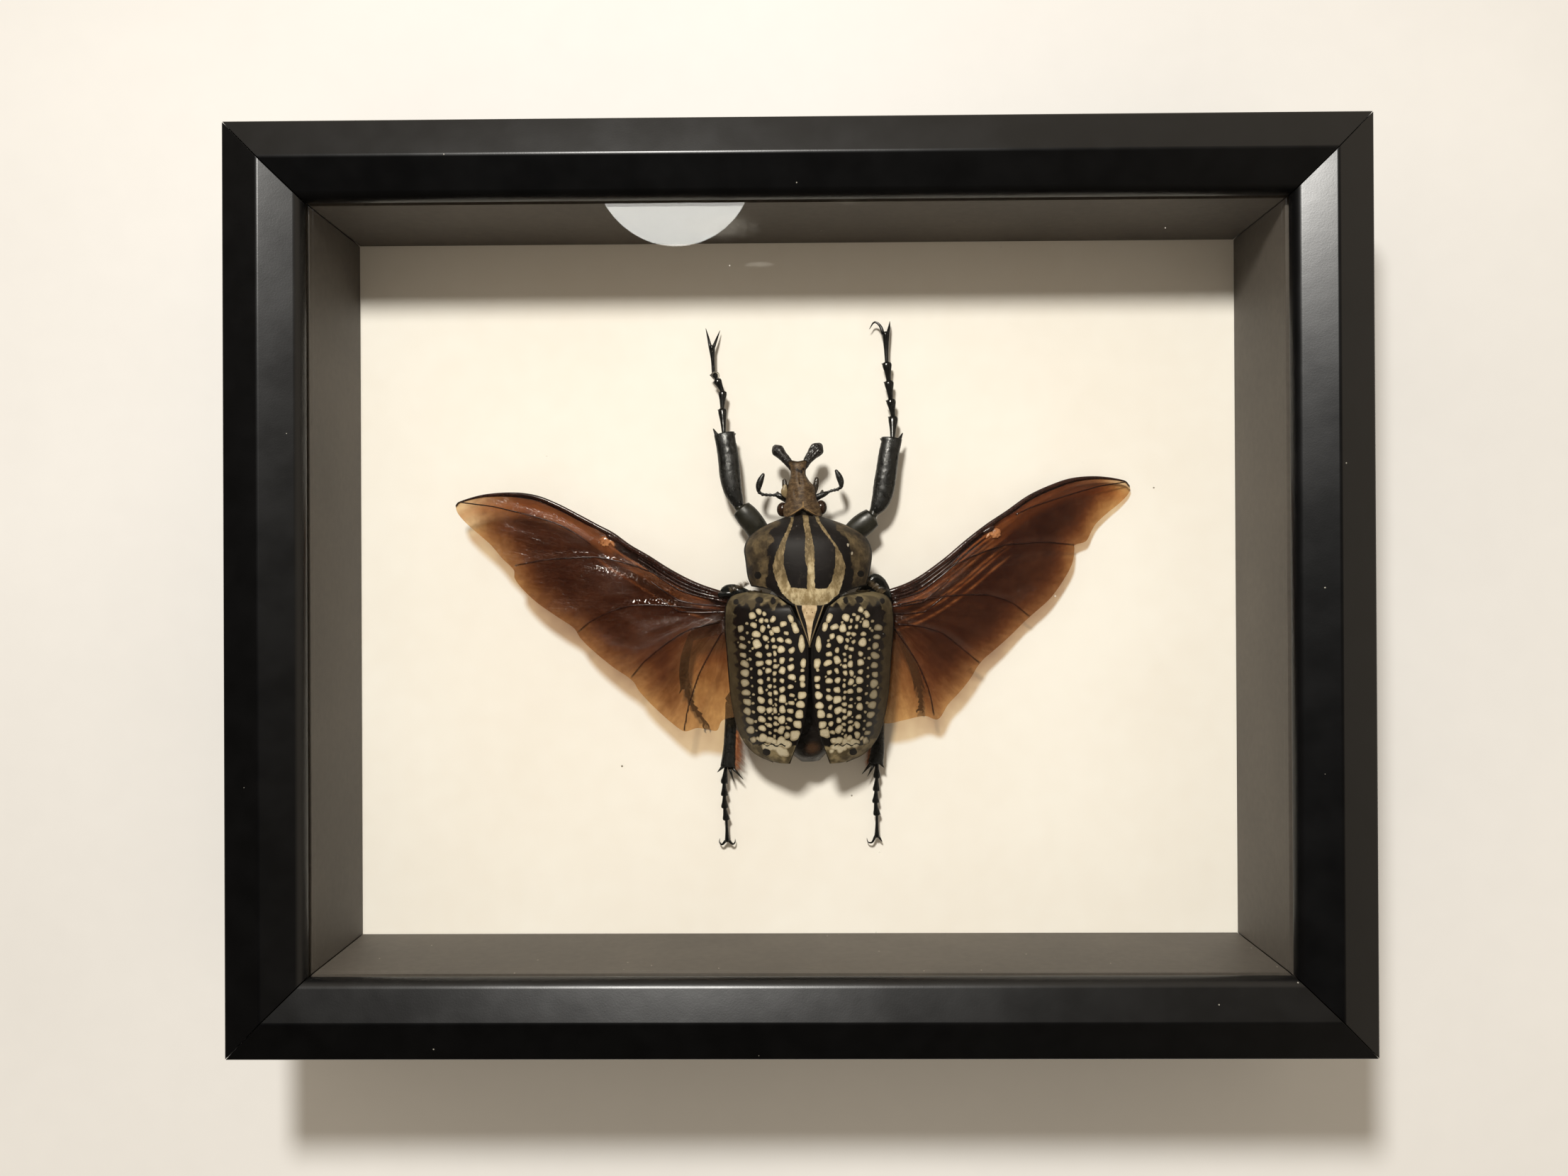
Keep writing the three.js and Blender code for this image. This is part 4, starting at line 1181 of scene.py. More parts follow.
def makeHead():
    surface = patch(head["rear"], head["front"], head["left"], head["right"])
    crown, edge = byCurve(head["crown"]), byCurve(head["edge"])

    def place(u, v):
        flat = surface(u, v)
        across = abs(2 * u - 1)
        h = edge(v) + (crown(v) - edge(v)) * (1 - across**2.6) ** 0.6
        y = flat[:, 1]
        aside = flat[:, 0] - bodyAxis(y)
        furrow = 0.35 * np.exp(-(aside / 0.45) ** 2) * np.exp(-((y - 28.5) / 2.0) ** 2)
        sideDent = 0.3 * np.exp(-((abs(aside) - 1.8) / 0.6) ** 2) * np.exp(-((y - 25.0) / 1.6) ** 2)
        lip = 0.3 * np.exp(-(v / 0.02) ** 2) + 0.3 * np.exp(-((1 - v) / 0.03) ** 2)
        return np.concatenate([flat, (h - furrow - sideDent + lip)[:, None]], 1)

    mesh, u, v, spots = gridMesh("head_plate", *head["grid"], place)
    x, y = spots[:, 0], spots[:, 1]
    carry(mesh, "front", v * 2.2 - 1.0)
    carry(mesh, "dimples", dotField(x, y, head["dimples"]))
    carry(mesh, "rim", np.maximum(0.2 - (1 - v) * 14, 0.16 - (1 - abs(2 * u - 1)) * 4))
    cleft = 0.12 - np.hypot((x - 1.75), np.clip(abs(y - 21.9) - 0.7, 0, 9))
    carry(mesh, "gold", np.maximum(np.minimum(0.08 - abs(v * 14 - 0.2), 0.05 * (3.0 - abs(x - 1.75))),
                                   cleft))
    piece = makePiece("head_plate", mesh, headMaterial(), "brown_shell", "head")
    thicken(piece, head["thickness"])
    bm = bmesh.new()
    for stations in head["horns"]:
        addLimb(bm, stations, steps=34, sides=28, blunt=0.85)
    roughen(bm, bm.verts, 0.9, 0.12, seed=3.0)
    makePiece("horns", meshOf(bm), hornMaterial(), "brown_shell")


headParts = {  # [x, y, height, half width, half depth] along each part; an eye has a radius
    "skull": [(1.7, 19.5, 10.2, 4.2, 3.0), (1.6, 23, 10, 3.3, 3.0), (1.2, 26, 9.8, 2.9, 2.8),
              (0.7, 30, 10.2, 1.3, 1.6), (0.5, 33.0, 10.9, 1.5, 1.2)],
    "lobes": [
        [(-2.5, 24.6, 9.8, 0.6, 0.8), (-3.0, 27.0, 10.1, 0.8, 0.8), (-3.2, 28.8, 10.0, 0.6, 0.6)],
        [(4.6, 24.8, 9.8, 0.6, 0.8), (5.2, 27.2, 10.1, 0.8, 0.8), (5.5, 29.2, 10.0, 0.62, 0.6)],
    ],
    "plates": [[(-2.5, 24.2, 10.8, 0.5, 0.35), (-3.2, 25.5, 11.2, 0.95, 0.4),
                (-3.0, 27.3, 11.2, 0.45, 0.3)]],
    "eyes": [(-3.7, 20.9, 10.4, 1.7), (6.6, 21.4, 10.4, 1.7)],
    "jaws": [
        [(-2.6, 23.4, 9.2, 0.7, 0.7), (-4.2, 24.3, 9.2, 0.6, 0.6), (-5.1, 25.6, 9.1, 0.35, 0.4)],
        [(5.2, 23.6, 9.2, 0.7, 0.7), (6.4, 24.6, 9.2, 0.6, 0.6), (7.0, 26.0, 9.1, 0.35, 0.4)],
    ],
}
feelers = {
    "joints": 6,
    "left": {
        "base": [(-2.9, 24.0, 9.6, 0.75, 0.65), (-4.3, 24.5, 9.7, 0.85, 0.7),
                 (-5.6, 25.0, 9.6, 0.5, 0.5)],
        "stem": [(-5.2, 24.8, 9.6, 0.36, 0.36), (-7.3, 24.9, 9.4, 0.38, 0.36),
                 (-9.2, 25.1, 9.2, 0.42, 0.4), (-10.0, 25.7, 9.1, 0.44, 0.4),
                 (-10.2, 26.8, 9.0, 0.5, 0.42)],
        "club": [(-10.2, 26.0, 9.0, 0.5, 0.5), (-10.05, 27.5, 8.9, 0.85, 0.75),
                 (-9.55, 29.0, 8.9, 0.82, 0.75), (-8.85, 30.5, 8.9, 0.45, 0.5)],
    },
    "right": {
        "base": [(5.3, 24.2, 9.6, 0.75, 0.65), (6.9, 24.8, 9.7, 0.8, 0.7), (8.3, 25.4, 9.6, 0.5, 0.5)],
        "stem": [(8.0, 25.3, 9.6, 0.36, 0.36), (9.6, 26.0, 9.4, 0.38, 0.36), (11.1, 26.3, 9.2, 0.42, 0.4),
                 (11.9, 26.9, 9.1, 0.44, 0.42), (12.1, 27.8, 9.0, 0.5, 0.42)],
        "club": [(12.1, 27.0, 9.0, 0.5, 0.5), (11.95, 28.5, 8.9, 0.85, 0.75),
                 (11.4, 30.0, 8.9, 0.82, 0.75), (10.7, 31.4, 8.9, 0.42, 0.5)],
    },
}


def blackShell(name, dark, pale, rough=(0.2, 0.42), pitSpacing=0.6, pitDepth=0.08):
    material, tree, shader = newMaterial(name)
    where = inMillimetres(tree)
    tone = useGroup(tree, mottle, Vector=where, Large=6.0, Small=0.6, Share=0.45)["Value"]
    dust = useGroup(tree, specks, Vector=where, Spacing=2.6, Size=0.05, Share=0.25)["Mask"]
    colour = blend(tree, dust, ramp(tree, tone, [(0.32, dark), (0.68, pale)]), paint(120, 112, 98))
    tree.links.new(colour, shader["Base Color"])
    gloss = cloud(tree, where, 3.0, detail=4.0)
    tree.links.new(stepUp(tree, gloss, 0.35, 0.65, rough[0], rough[1]), shader["Roughness"])
    dents = useGroup(tree, pits, Vector=where, Spacing=pitSpacing, Width=0.42)["Height"]
    skin = cloud(tree, where, 0.5, detail=4.0, rough=0.65)
    height = weigh(tree, dents, 0.7, skin, 0.5)
    tree.links.new(bump(tree, height, pitDepth, 0.9), shader["Normal"])
    return material


limbShell = blackShell("limb shell", paint(10, 10, 10), paint(26, 26, 24), rough=(0.2, 0.36),
                       pitSpacing=0.36, pitDepth=0.09)
toeShell = blackShell("toe shell", paint(9, 9, 9), paint(22, 22, 21), rough=(0.12, 0.2), pitSpacing=0.5,
                      pitDepth=0.012)
thighShell = blackShell("thigh shell", paint(20, 20, 16), paint(46, 44, 35), rough=(0.3, 0.42),
                        pitSpacing=0.5, pitDepth=0.012)


def makeHeadParts():
    bm = bmesh.new()
    addLimb(bm, headParts["skull"], steps=20, sides=20)
    for stations in headParts["lobes"] + headParts["jaws"]:
        addLimb(bm, stations, steps=14, sides=14, blunt=0.8)
    under = blackShell("mouth parts", paint(30, 25, 22), paint(62, 54, 44))
    makePiece("head_underside", meshOf(bm), under, "brown_shell")
    bm = bmesh.new()
    for stations in headParts["plates"]:
        addLimb(bm, stations, steps=14, sides=14, blunt=0.6)
    cheek = blackShell("cheek shell", paint(104, 88, 62), paint(160, 142, 108))
    makePiece("cheek_plate", meshOf(bm), cheek, "brown_shell")
    bm = bmesh.new()
    for x, y, h, radius in headParts["eyes"]:
        where = Matrix.Translation(toWorld(x, y, h)) @ Matrix.Diagonal((0.92, 1.15, 0.95, 1))
        bmesh.ops.create_uvsphere(bm, u_segments=32, v_segments=20, radius=radius * mm, matrix=where)
    eye = blackShell("eye", paint(24, 15, 11), paint(64, 41, 27), rough=(0.16, 0.26), pitSpacing=0.22,
                     pitDepth=0.015)
    makePiece("eyes", meshOf(bm), eye, "brown_shell")


def makeFeeler(side):
    parts = feelers[side]
    bm = bmesh.new()
    addLimb(bm, parts["base"], steps=14, sides=14, blunt=0.8)
    line = smoothLine(parts["stem"])
    joints = feelers["joints"]
    for index in range(joints):  # small beads, each a little wider at its far end
        near, far = line(np.array([index / joints, (index + 0.94) / joints]))
        middle = (near + far) / 2
        rows = [(*near[:3], 0.24, 0.24), (*middle[:3], middle[3], middle[4]),
                (*far[:3], far[3] * 1.25, far[4] * 1.1)]
        addLimb(bm, rows, steps=8, sides=10, blunt=0.6)
    addLimb(bm, parts["club"], steps=18, sides=16, blunt=0.9)
    makePiece("feeler_" + side, meshOf(bm), limbShell, "black_shell", "antenna_" + side)


makeHead()
makeHeadParts()
makeFeeler("left")
makeFeeler("right")
print("stage: head")


# the trunk under the wing cases

trunk = {
    "body": [(3.2, -3, 9, 12, 8.4), (3.2, -8, 9, 15.8, 9.0), (3.1, -16, 9, 16.8, 9.2),
             (3.0, -26, 9, 16.6, 8.6), (3.0, -34, 9, 13.6, 7.4), (3.0, -39.5, 9, 9.8, 6.0),
             (3.2, -42.9, 9, 6.2, 4.4)],
    "plates": [
        [(-10.5, -4.0, 10.5, 1.8, 1.7), (-14.8, -1.4, 12.2, 1.7, 1.5), (-17.6, -0.2, 12.0, 1.35, 1.2),
         (-19.8, -0.6, 11.6, 0.8, 0.8)],
        [(16.5, -3.0, 10.5, 1.8, 1.7), (19.4, 1.4, 12.0, 1.5, 1.4), (21.2, 2.4, 12.1, 1.2, 1.2),
         (23.0, 0.9, 12.0, 1.0, 1.0), (24.2, -1.2, 11.6, 0.7, 0.7)],
        [(-13.4, -3.2, 11.5, 1.3, 1.2), (-17.4, -1.6, 12.2, 1.0, 0.9), (-20.6, -1.8, 12.0, 0.7, 0.7)],
        [(19.6, -2.0, 11.5, 1.3, 1.2), (22.6, -0.4, 12.2, 1.0, 0.9), (24.8, -2.4, 12.0, 0.7, 0.7)],
    ],
    "rings": [-39.6, -36.4, -32.6, -28.6],  # where the belly plates overlap
    "middleHeight": 9,
    "ringStep": 0.28,
    "ringWidth": 0.5,
}


def trunkMaterial():
    material = blackShell("belly shell", paint(16, 13, 12), paint(34, 27, 24), rough=(0.22, 0.36),
                          pitSpacing=0.8)
    tree = material.node_tree
    shader = tree.nodes["Principled BSDF"].inputs
    old = shader["Base Color"].links[0].from_socket
    near = inMillimetres(tree, centre=(3.9, -42.4, 21), stretch=(0.5, 0.62, 0.12))
    reach = addNode(tree, "VectorMath", {0: near}, operation="LENGTH").outputs["Value"]
    brown = stepUp(tree, reach, 0.3, 1.5, 0.85, 0.0)
    tree.links.new(blend(tree, brown, old, paint(84, 60, 42)), shader["Base Color"])
    return material


def makeTrunk():
    bm = bmesh.new()
    addLimb(bm, trunk["body"], steps=90, sides=56, blunt=0.7)
    for vert in bm.verts:
        y = vert.co.y / mm
        for ring in trunk["rings"]:
            step = (y - ring) / trunk["ringWidth"]
            upper = vert.co.z / mm > boardTop + trunk["middleHeight"]
            if abs(step) < 3:
                vert.co.z -= trunk["ringStep"] * mm * math.exp(-step * step) * (1 if upper else -1)
    makePiece("belly", meshOf(bm), trunkMaterial(), "black_shell")
    bm = bmesh.new()
    for stations in trunk["plates"]:
        addLimb(bm, stations, steps=22, sides=18, blunt=0.8)
    roughen(bm, bm.verts, 1.6, 0.18, seed=8.0)
    glossy = blackShell("shoulder shell", paint(12, 13, 13), paint(26, 28, 27), rough=(0.12, 0.22),
                        pitSpacing=0.9)
    makePiece("shoulder_plates", meshOf(bm), glossy, "black_shell")


makeTrunk()
print("stage: trunk")


# legs

legs = {  # stations as above; foot joints [x, y, height]; spikes as root, tip and radius
    "foreleg_left": {
        "femur": [(-8.6, 12.0, 6.6, 2.8, 1.9), (-11.0, 16.4, 7.2, 3.1, 2.2), (-13.2, 19.3, 7.6, 3.1, 2.1),
                  (-14.9, 21.3, 7.6, 2.7, 1.9)],
        "tibia": [(-15.6, 22.0, 7.2, 1.3, 1.25), (-16.2, 23.8, 7.2, 1.9, 1.5),
                  (-17.2, 26.5, 7.0, 2.5, 1.8), (-17.9, 30.4, 6.8, 2.85, 1.9),
                  (-18.4, 35.6, 6.4, 2.85, 1.8), (-19.1, 39.7, 6.2, 2.75, 1.6),
                  (-19.5, 41.9, 6.0, 2.85, 1.5)],
        "foot": [(-19.6, 41.9, 5.4), (-20.1, 48.9, 4.2), (-20.0, 53.7, 3.7), (-21.6, 57.0, 3.4),
                 (-22.5, 58.9, 3.2)],
        "last": [(-22.5, 58.7, 3.2, 0.5, 0.5), (-22.7, 62.5, 3.0, 0.55, 0.55),
                 (-23.0, 66.3, 2.8, 0.92, 0.7)],
        "claws": [[(-23.4, 66.0, 2.8), (-24.0, 68.8, 2.4), (-24.7, 71.5, 1.7)],
                  [(-22.5, 66.1, 2.8), (-21.6, 68.6, 2.4), (-20.8, 70.9, 1.7)]],
        "spikes": [((-20.4, 39.4, 6.0), (-22.5, 43.3, 5.8), 1.2),
                   ((-18.2, 39.8, 6.0), (-16.4, 42.0, 5.8), 0.9)],
        "flare": 1.12,
    },
    "foreleg_right": {
        "femur": [(13.2, 12.0, 6.6, 2.8, 1.9), (16.2, 15.5, 7.2, 3.1, 2.2), (18.5, 17.4, 7.6, 3.1, 2.1),
                  (20.4, 18.8, 7.6, 2.75, 1.9)],
        "tibia": [(20.9, 20.3, 7.2, 1.3, 1.2), (22.1, 22.1, 7.2, 2.2, 1.6), (23.1, 24.4, 7.1, 2.65, 1.8),
                  (23.7, 27.2, 7.0, 2.9, 1.9), (24.4, 31.4, 6.8, 2.85, 1.85),
                  (25.1, 36.2, 6.5, 2.75, 1.75), (25.7, 38.8, 6.2, 2.75, 1.6),
                  (25.9, 40.3, 6.0, 2.85, 1.5)],
        "foot": [(26.2, 40.2, 5.4), (26.5, 46.5, 4.2), (25.9, 51.2, 3.8), (25.4, 56.3, 3.5),
                 (24.9, 61.4, 3.3)],
        "last": [(24.9, 61.2, 3.3, 0.5, 0.5), (24.8, 65.2, 3.1, 0.66, 0.6), (24.75, 69.6, 2.9, 1.1, 0.8)],
        "claws": [[(24.0, 69.3, 2.9), (23.2, 71.6, 2.8), (21.6, 72.7, 2.6), (20.3, 70.9, 2.2)],
                  [(25.3, 69.6, 2.9), (25.7, 71.4, 2.5), (25.9, 73.0, 2.0)]],
        "spikes": [((26.8, 37.6, 6.0), (28.9, 41.8, 5.8), 1.2),
                   ((24.6, 38.4, 6.0), (22.8, 40.4, 5.8), 0.9)],
        "flare": 1.25,
    },
    "midleg_left": {
        "femur": [(-11, -8, 5.2, 1.9, 1.7), (-20, -10.4, 5.4, 1.9, 1.6), (-28.4, -12.8, 5.4, 1.5, 1.3)],
        "tibia": [(-28.9, -13.2, 5.2, 0.9, 0.9), (-30.4, -18.5, 4.8, 1.25, 1.0),
                  (-30.9, -23.4, 4.4, 1.3, 1.0), (-30.4, -27.4, 4.2, 1.5, 1.0)],
        "foot": [(-30.4, -27.2, 3.8), (-29.9, -29.6, 3.3), (-29.0, -31.6, 3.0), (-27.9, -33.4, 2.8),
                 (-26.7, -35.0, 2.6)],
        "last": [(-26.7, -34.9, 2.6, 0.35, 0.35), (-26.0, -36.0, 2.4, 0.4, 0.4),
                 (-25.3, -37.0, 2.3, 0.6, 0.5)],
        "claws": [[(-25.2, -36.9, 2.2), (-24.4, -37.8, 2.0), (-24.3, -38.8, 1.6)],
                  [(-25.6, -37.1, 2.2), (-25.9, -38.0, 2.0), (-25.4, -38.9, 1.6)]],
        "spikes": [((-31.4, -27.0, 4.2), (-32.3, -28.9, 4.0), 0.4),
                   ((-29.8, -27.0, 4.2), (-29.2, -29.0, 4.0), 0.4)],
        "flare": 0.85,
    },
    "midleg_right": {
        "femur": [(17, -8, 4.8, 1.7, 1.5), (22.4, -10.6, 4.6, 1.6, 1.4), (27.6, -13.2, 4.6, 1.3, 1.2)],
        "tibia": [(27.9, -13.6, 4.4, 0.8, 0.8), (30.4, -18.6, 4.1, 1.1, 0.9),
                  (32.2, -23.2, 3.8, 1.2, 0.9), (33.1, -26.8, 3.6, 1.35, 0.9)],
        "foot": [(33.1, -26.6, 3.3), (33.5, -28.6, 3.0), (33.7, -30.2, 2.8), (33.8, -31.6, 2.7),
                 (33.8, -33.0, 2.5)],
        "last": [(33.8, -32.4, 2.5, 0.35, 0.35), (33.7, -33.0, 2.4, 0.4, 0.4),
                 (33.6, -33.6, 2.2, 0.55, 0.5)],
        "claws": [[(33.3, -33.5, 2.2), (32.7, -34.0, 2.0), (32.9, -34.6, 1.6)],
                  [(33.9, -33.5, 2.2), (34.5, -34.0, 2.0), (34.2, -34.6, 1.6)]],
        "spikes": [((34.0, -26.4, 3.6), (34.9, -28.0, 3.4), 0.4),
                   ((32.2, -26.6, 3.6), (31.9, -28.4, 3.4), 0.4)],
        "flare": 0.8,
    },
    "hindleg_left": {
        "femur": [(-8.6, -21.0, 4.4, 2.0, 1.8), (-14.4, -26.8, 4.8, 2.3, 1.9),
                  (-18.2, -31.2, 5.2, 1.9, 1.6)],
        "tibia": [(-18.3, -31.6, 5.0, 1.3, 1.2), (-18.2, -36.0, 4.8, 1.55, 1.3),
                  (-18.55, -43.3, 4.6, 1.7, 1.35), (-19.0, -48.6, 4.4, 2.1, 1.3)],
        "foot": [(-19.6, -49.0, 4.0), (-20.15, -53.4, 3.3), (-20.1, -56.8, 3.1), (-20.05, -60.2, 2.9),
                 (-19.6, -63.5, 2.7)],
        "last": [(-19.6, -63.4, 2.7, 0.4, 0.4), (-19.5, -66.4, 2.5, 0.45, 0.45),
                 (-19.4, -69.4, 2.3, 0.72, 0.6)],
        "claws": [[(-19.9, -69.4, 2.2), (-20.9, -70.4, 2.0), (-21.6, -69.8, 1.7), (-21.5, -68.9, 1.5)],
                  [(-18.9, -69.4, 2.2), (-17.9, -70.3, 2.0), (-17.3, -69.8, 1.7), (-17.3, -69.0, 1.5)]],
        "spikes": [((-20.0, -48.2, 4.4), (-21.9, -50.2, 4.2), 0.65),
                   ((-18.2, -48.4, 4.4), (-14.9, -52.2, 4.0), 0.6),
                   ((-18.7, -48.8, 4.2), (-17.4, -53.0, 3.8), 0.5)],
        "flare": 0.95,
    },
    "hindleg_right": {
        "femur": [(14.8, -21.0, 4.4, 2.0, 1.8), (19.6, -26.8, 4.8, 2.3, 1.9),
                  (22.8, -31.2, 5.2, 1.9, 1.6)],
        "tibia": [(22.8, -31.6, 5.0, 1.3, 1.2), (22.1, -36.0, 4.8, 1.6, 1.3),
                  (21.9, -43.3, 4.6, 1.75, 1.35), (21.2, -47.8, 4.4, 2.15, 1.3)],
        "foot": [(21.6, -48.0, 4.0), (21.6, -52.0, 3.3), (21.4, -55.6, 3.1), (21.25, -58.9, 2.9),
                 (21.6, -62.3, 2.7)],
        "last": [(21.6, -62.1, 2.7, 0.4, 0.4), (21.6, -65.3, 2.5, 0.45, 0.45),
                 (21.6, -68.3, 2.3, 0.72, 0.6)],
        "claws": [[(21.2, -68.2, 2.2), (20.3, -69.9, 2.0), (19.2, -69.9, 1.7), (18.9, -68.9, 1.5)],
                  [(22.0, -68.2, 2.2), (22.7, -69.2, 2.0), (23.1, -69.9, 1.6)]],
        "spikes": [((22.4, -47.6, 4.4), (23.6, -49.2, 4.2), 0.6),
                   ((20.2, -47.6, 4.4), (17.5, -50.9, 4.0), 0.6),
                   ((20.9, -48.0, 4.2), (19.0, -51.6, 3.8), 0.5)],
        "flare": 0.95,
    },
}


# one foot joint: thin where it starts, flared and toothed where it ends
def addToe(bm, near, far, flare):
    middle = tuple(0.5 * (n + f) for n, f in zip(near, far))
    late = tuple(n + (f - n) * 0.86 for n, f in zip(near, far))
    rows = [(*near, 0.48 * flare, 0.45), (*middle, 0.74 * flare, 0.6), (*late, 1.05 * flare, 0.76),
            (*far, 0.85 * flare, 0.65)]
    addLimb(bm, rows, steps=12, sides=14, blunt=0.35)
    run = Vector((far[0] - near[0], far[1] - near[1], 0)).normalized()
    for side in (-1, 1):
        aside = Vector((-run.y, run.x, 0)) * side
        root = (late[0] + aside.x * 0.6 * flare, late[1] + aside.y * 0.6 * flare, late[2])
        reach = (1.0 + 0.1 * side) * flare
        tip = (far[0] + aside.x * reach, far[1] + aside.y * reach, far[2] - 0.1)
        addSpine(bm, root, tip, 0.42 * flare)


def makeLeg(name):
    parts = legs[name]
    bm = bmesh.new()
    addLimb(bm, parts["femur"], steps=40, sides=32, blunt=0.3)
    knee = [(*parts["femur"][-1][:3], 1.0, 1.0), (*parts["tibia"][1][:3], parts["tibia"][0][3], 1.1)]
    addLimb(bm, [knee[0], parts["tibia"][0], knee[1]], steps=12, sides=20, blunt=0.9)
    makePiece(name.replace("leg", "_thigh"), meshOf(bm), thighShell, "black_shell")
    bm = bmesh.new()
    addLimb(bm, parts["tibia"], steps=60, sides=32, blunt=0.12)
    roughen(bm, bm.verts, 0.9, 0.07, seed=len(name))
    for root, tip, radius in parts["spikes"]:
        addSpine(bm, root, tip, radius, sides=10)
    makePiece(name.replace("leg", "_leg"), meshOf(bm), limbShell, "black_shell", name)
    bm = bmesh.new()
    for near, far in zip(parts["foot"], parts["foot"][1:]):
        addToe(bm, near, far, parts["flare"])
    addLimb(bm, parts["last"], steps=18, sides=16, blunt=0.5)
    thick = parts["flare"] * 0.42
    for claw in parts["claws"]:
        addHook(bm, claw, thick)
    makePiece(name.replace("leg", "_foot"), meshOf(bm), toeShell, "black_shell")


for name in legs:
    makeLeg(name)
print("stage: legs")


# spread hind wings

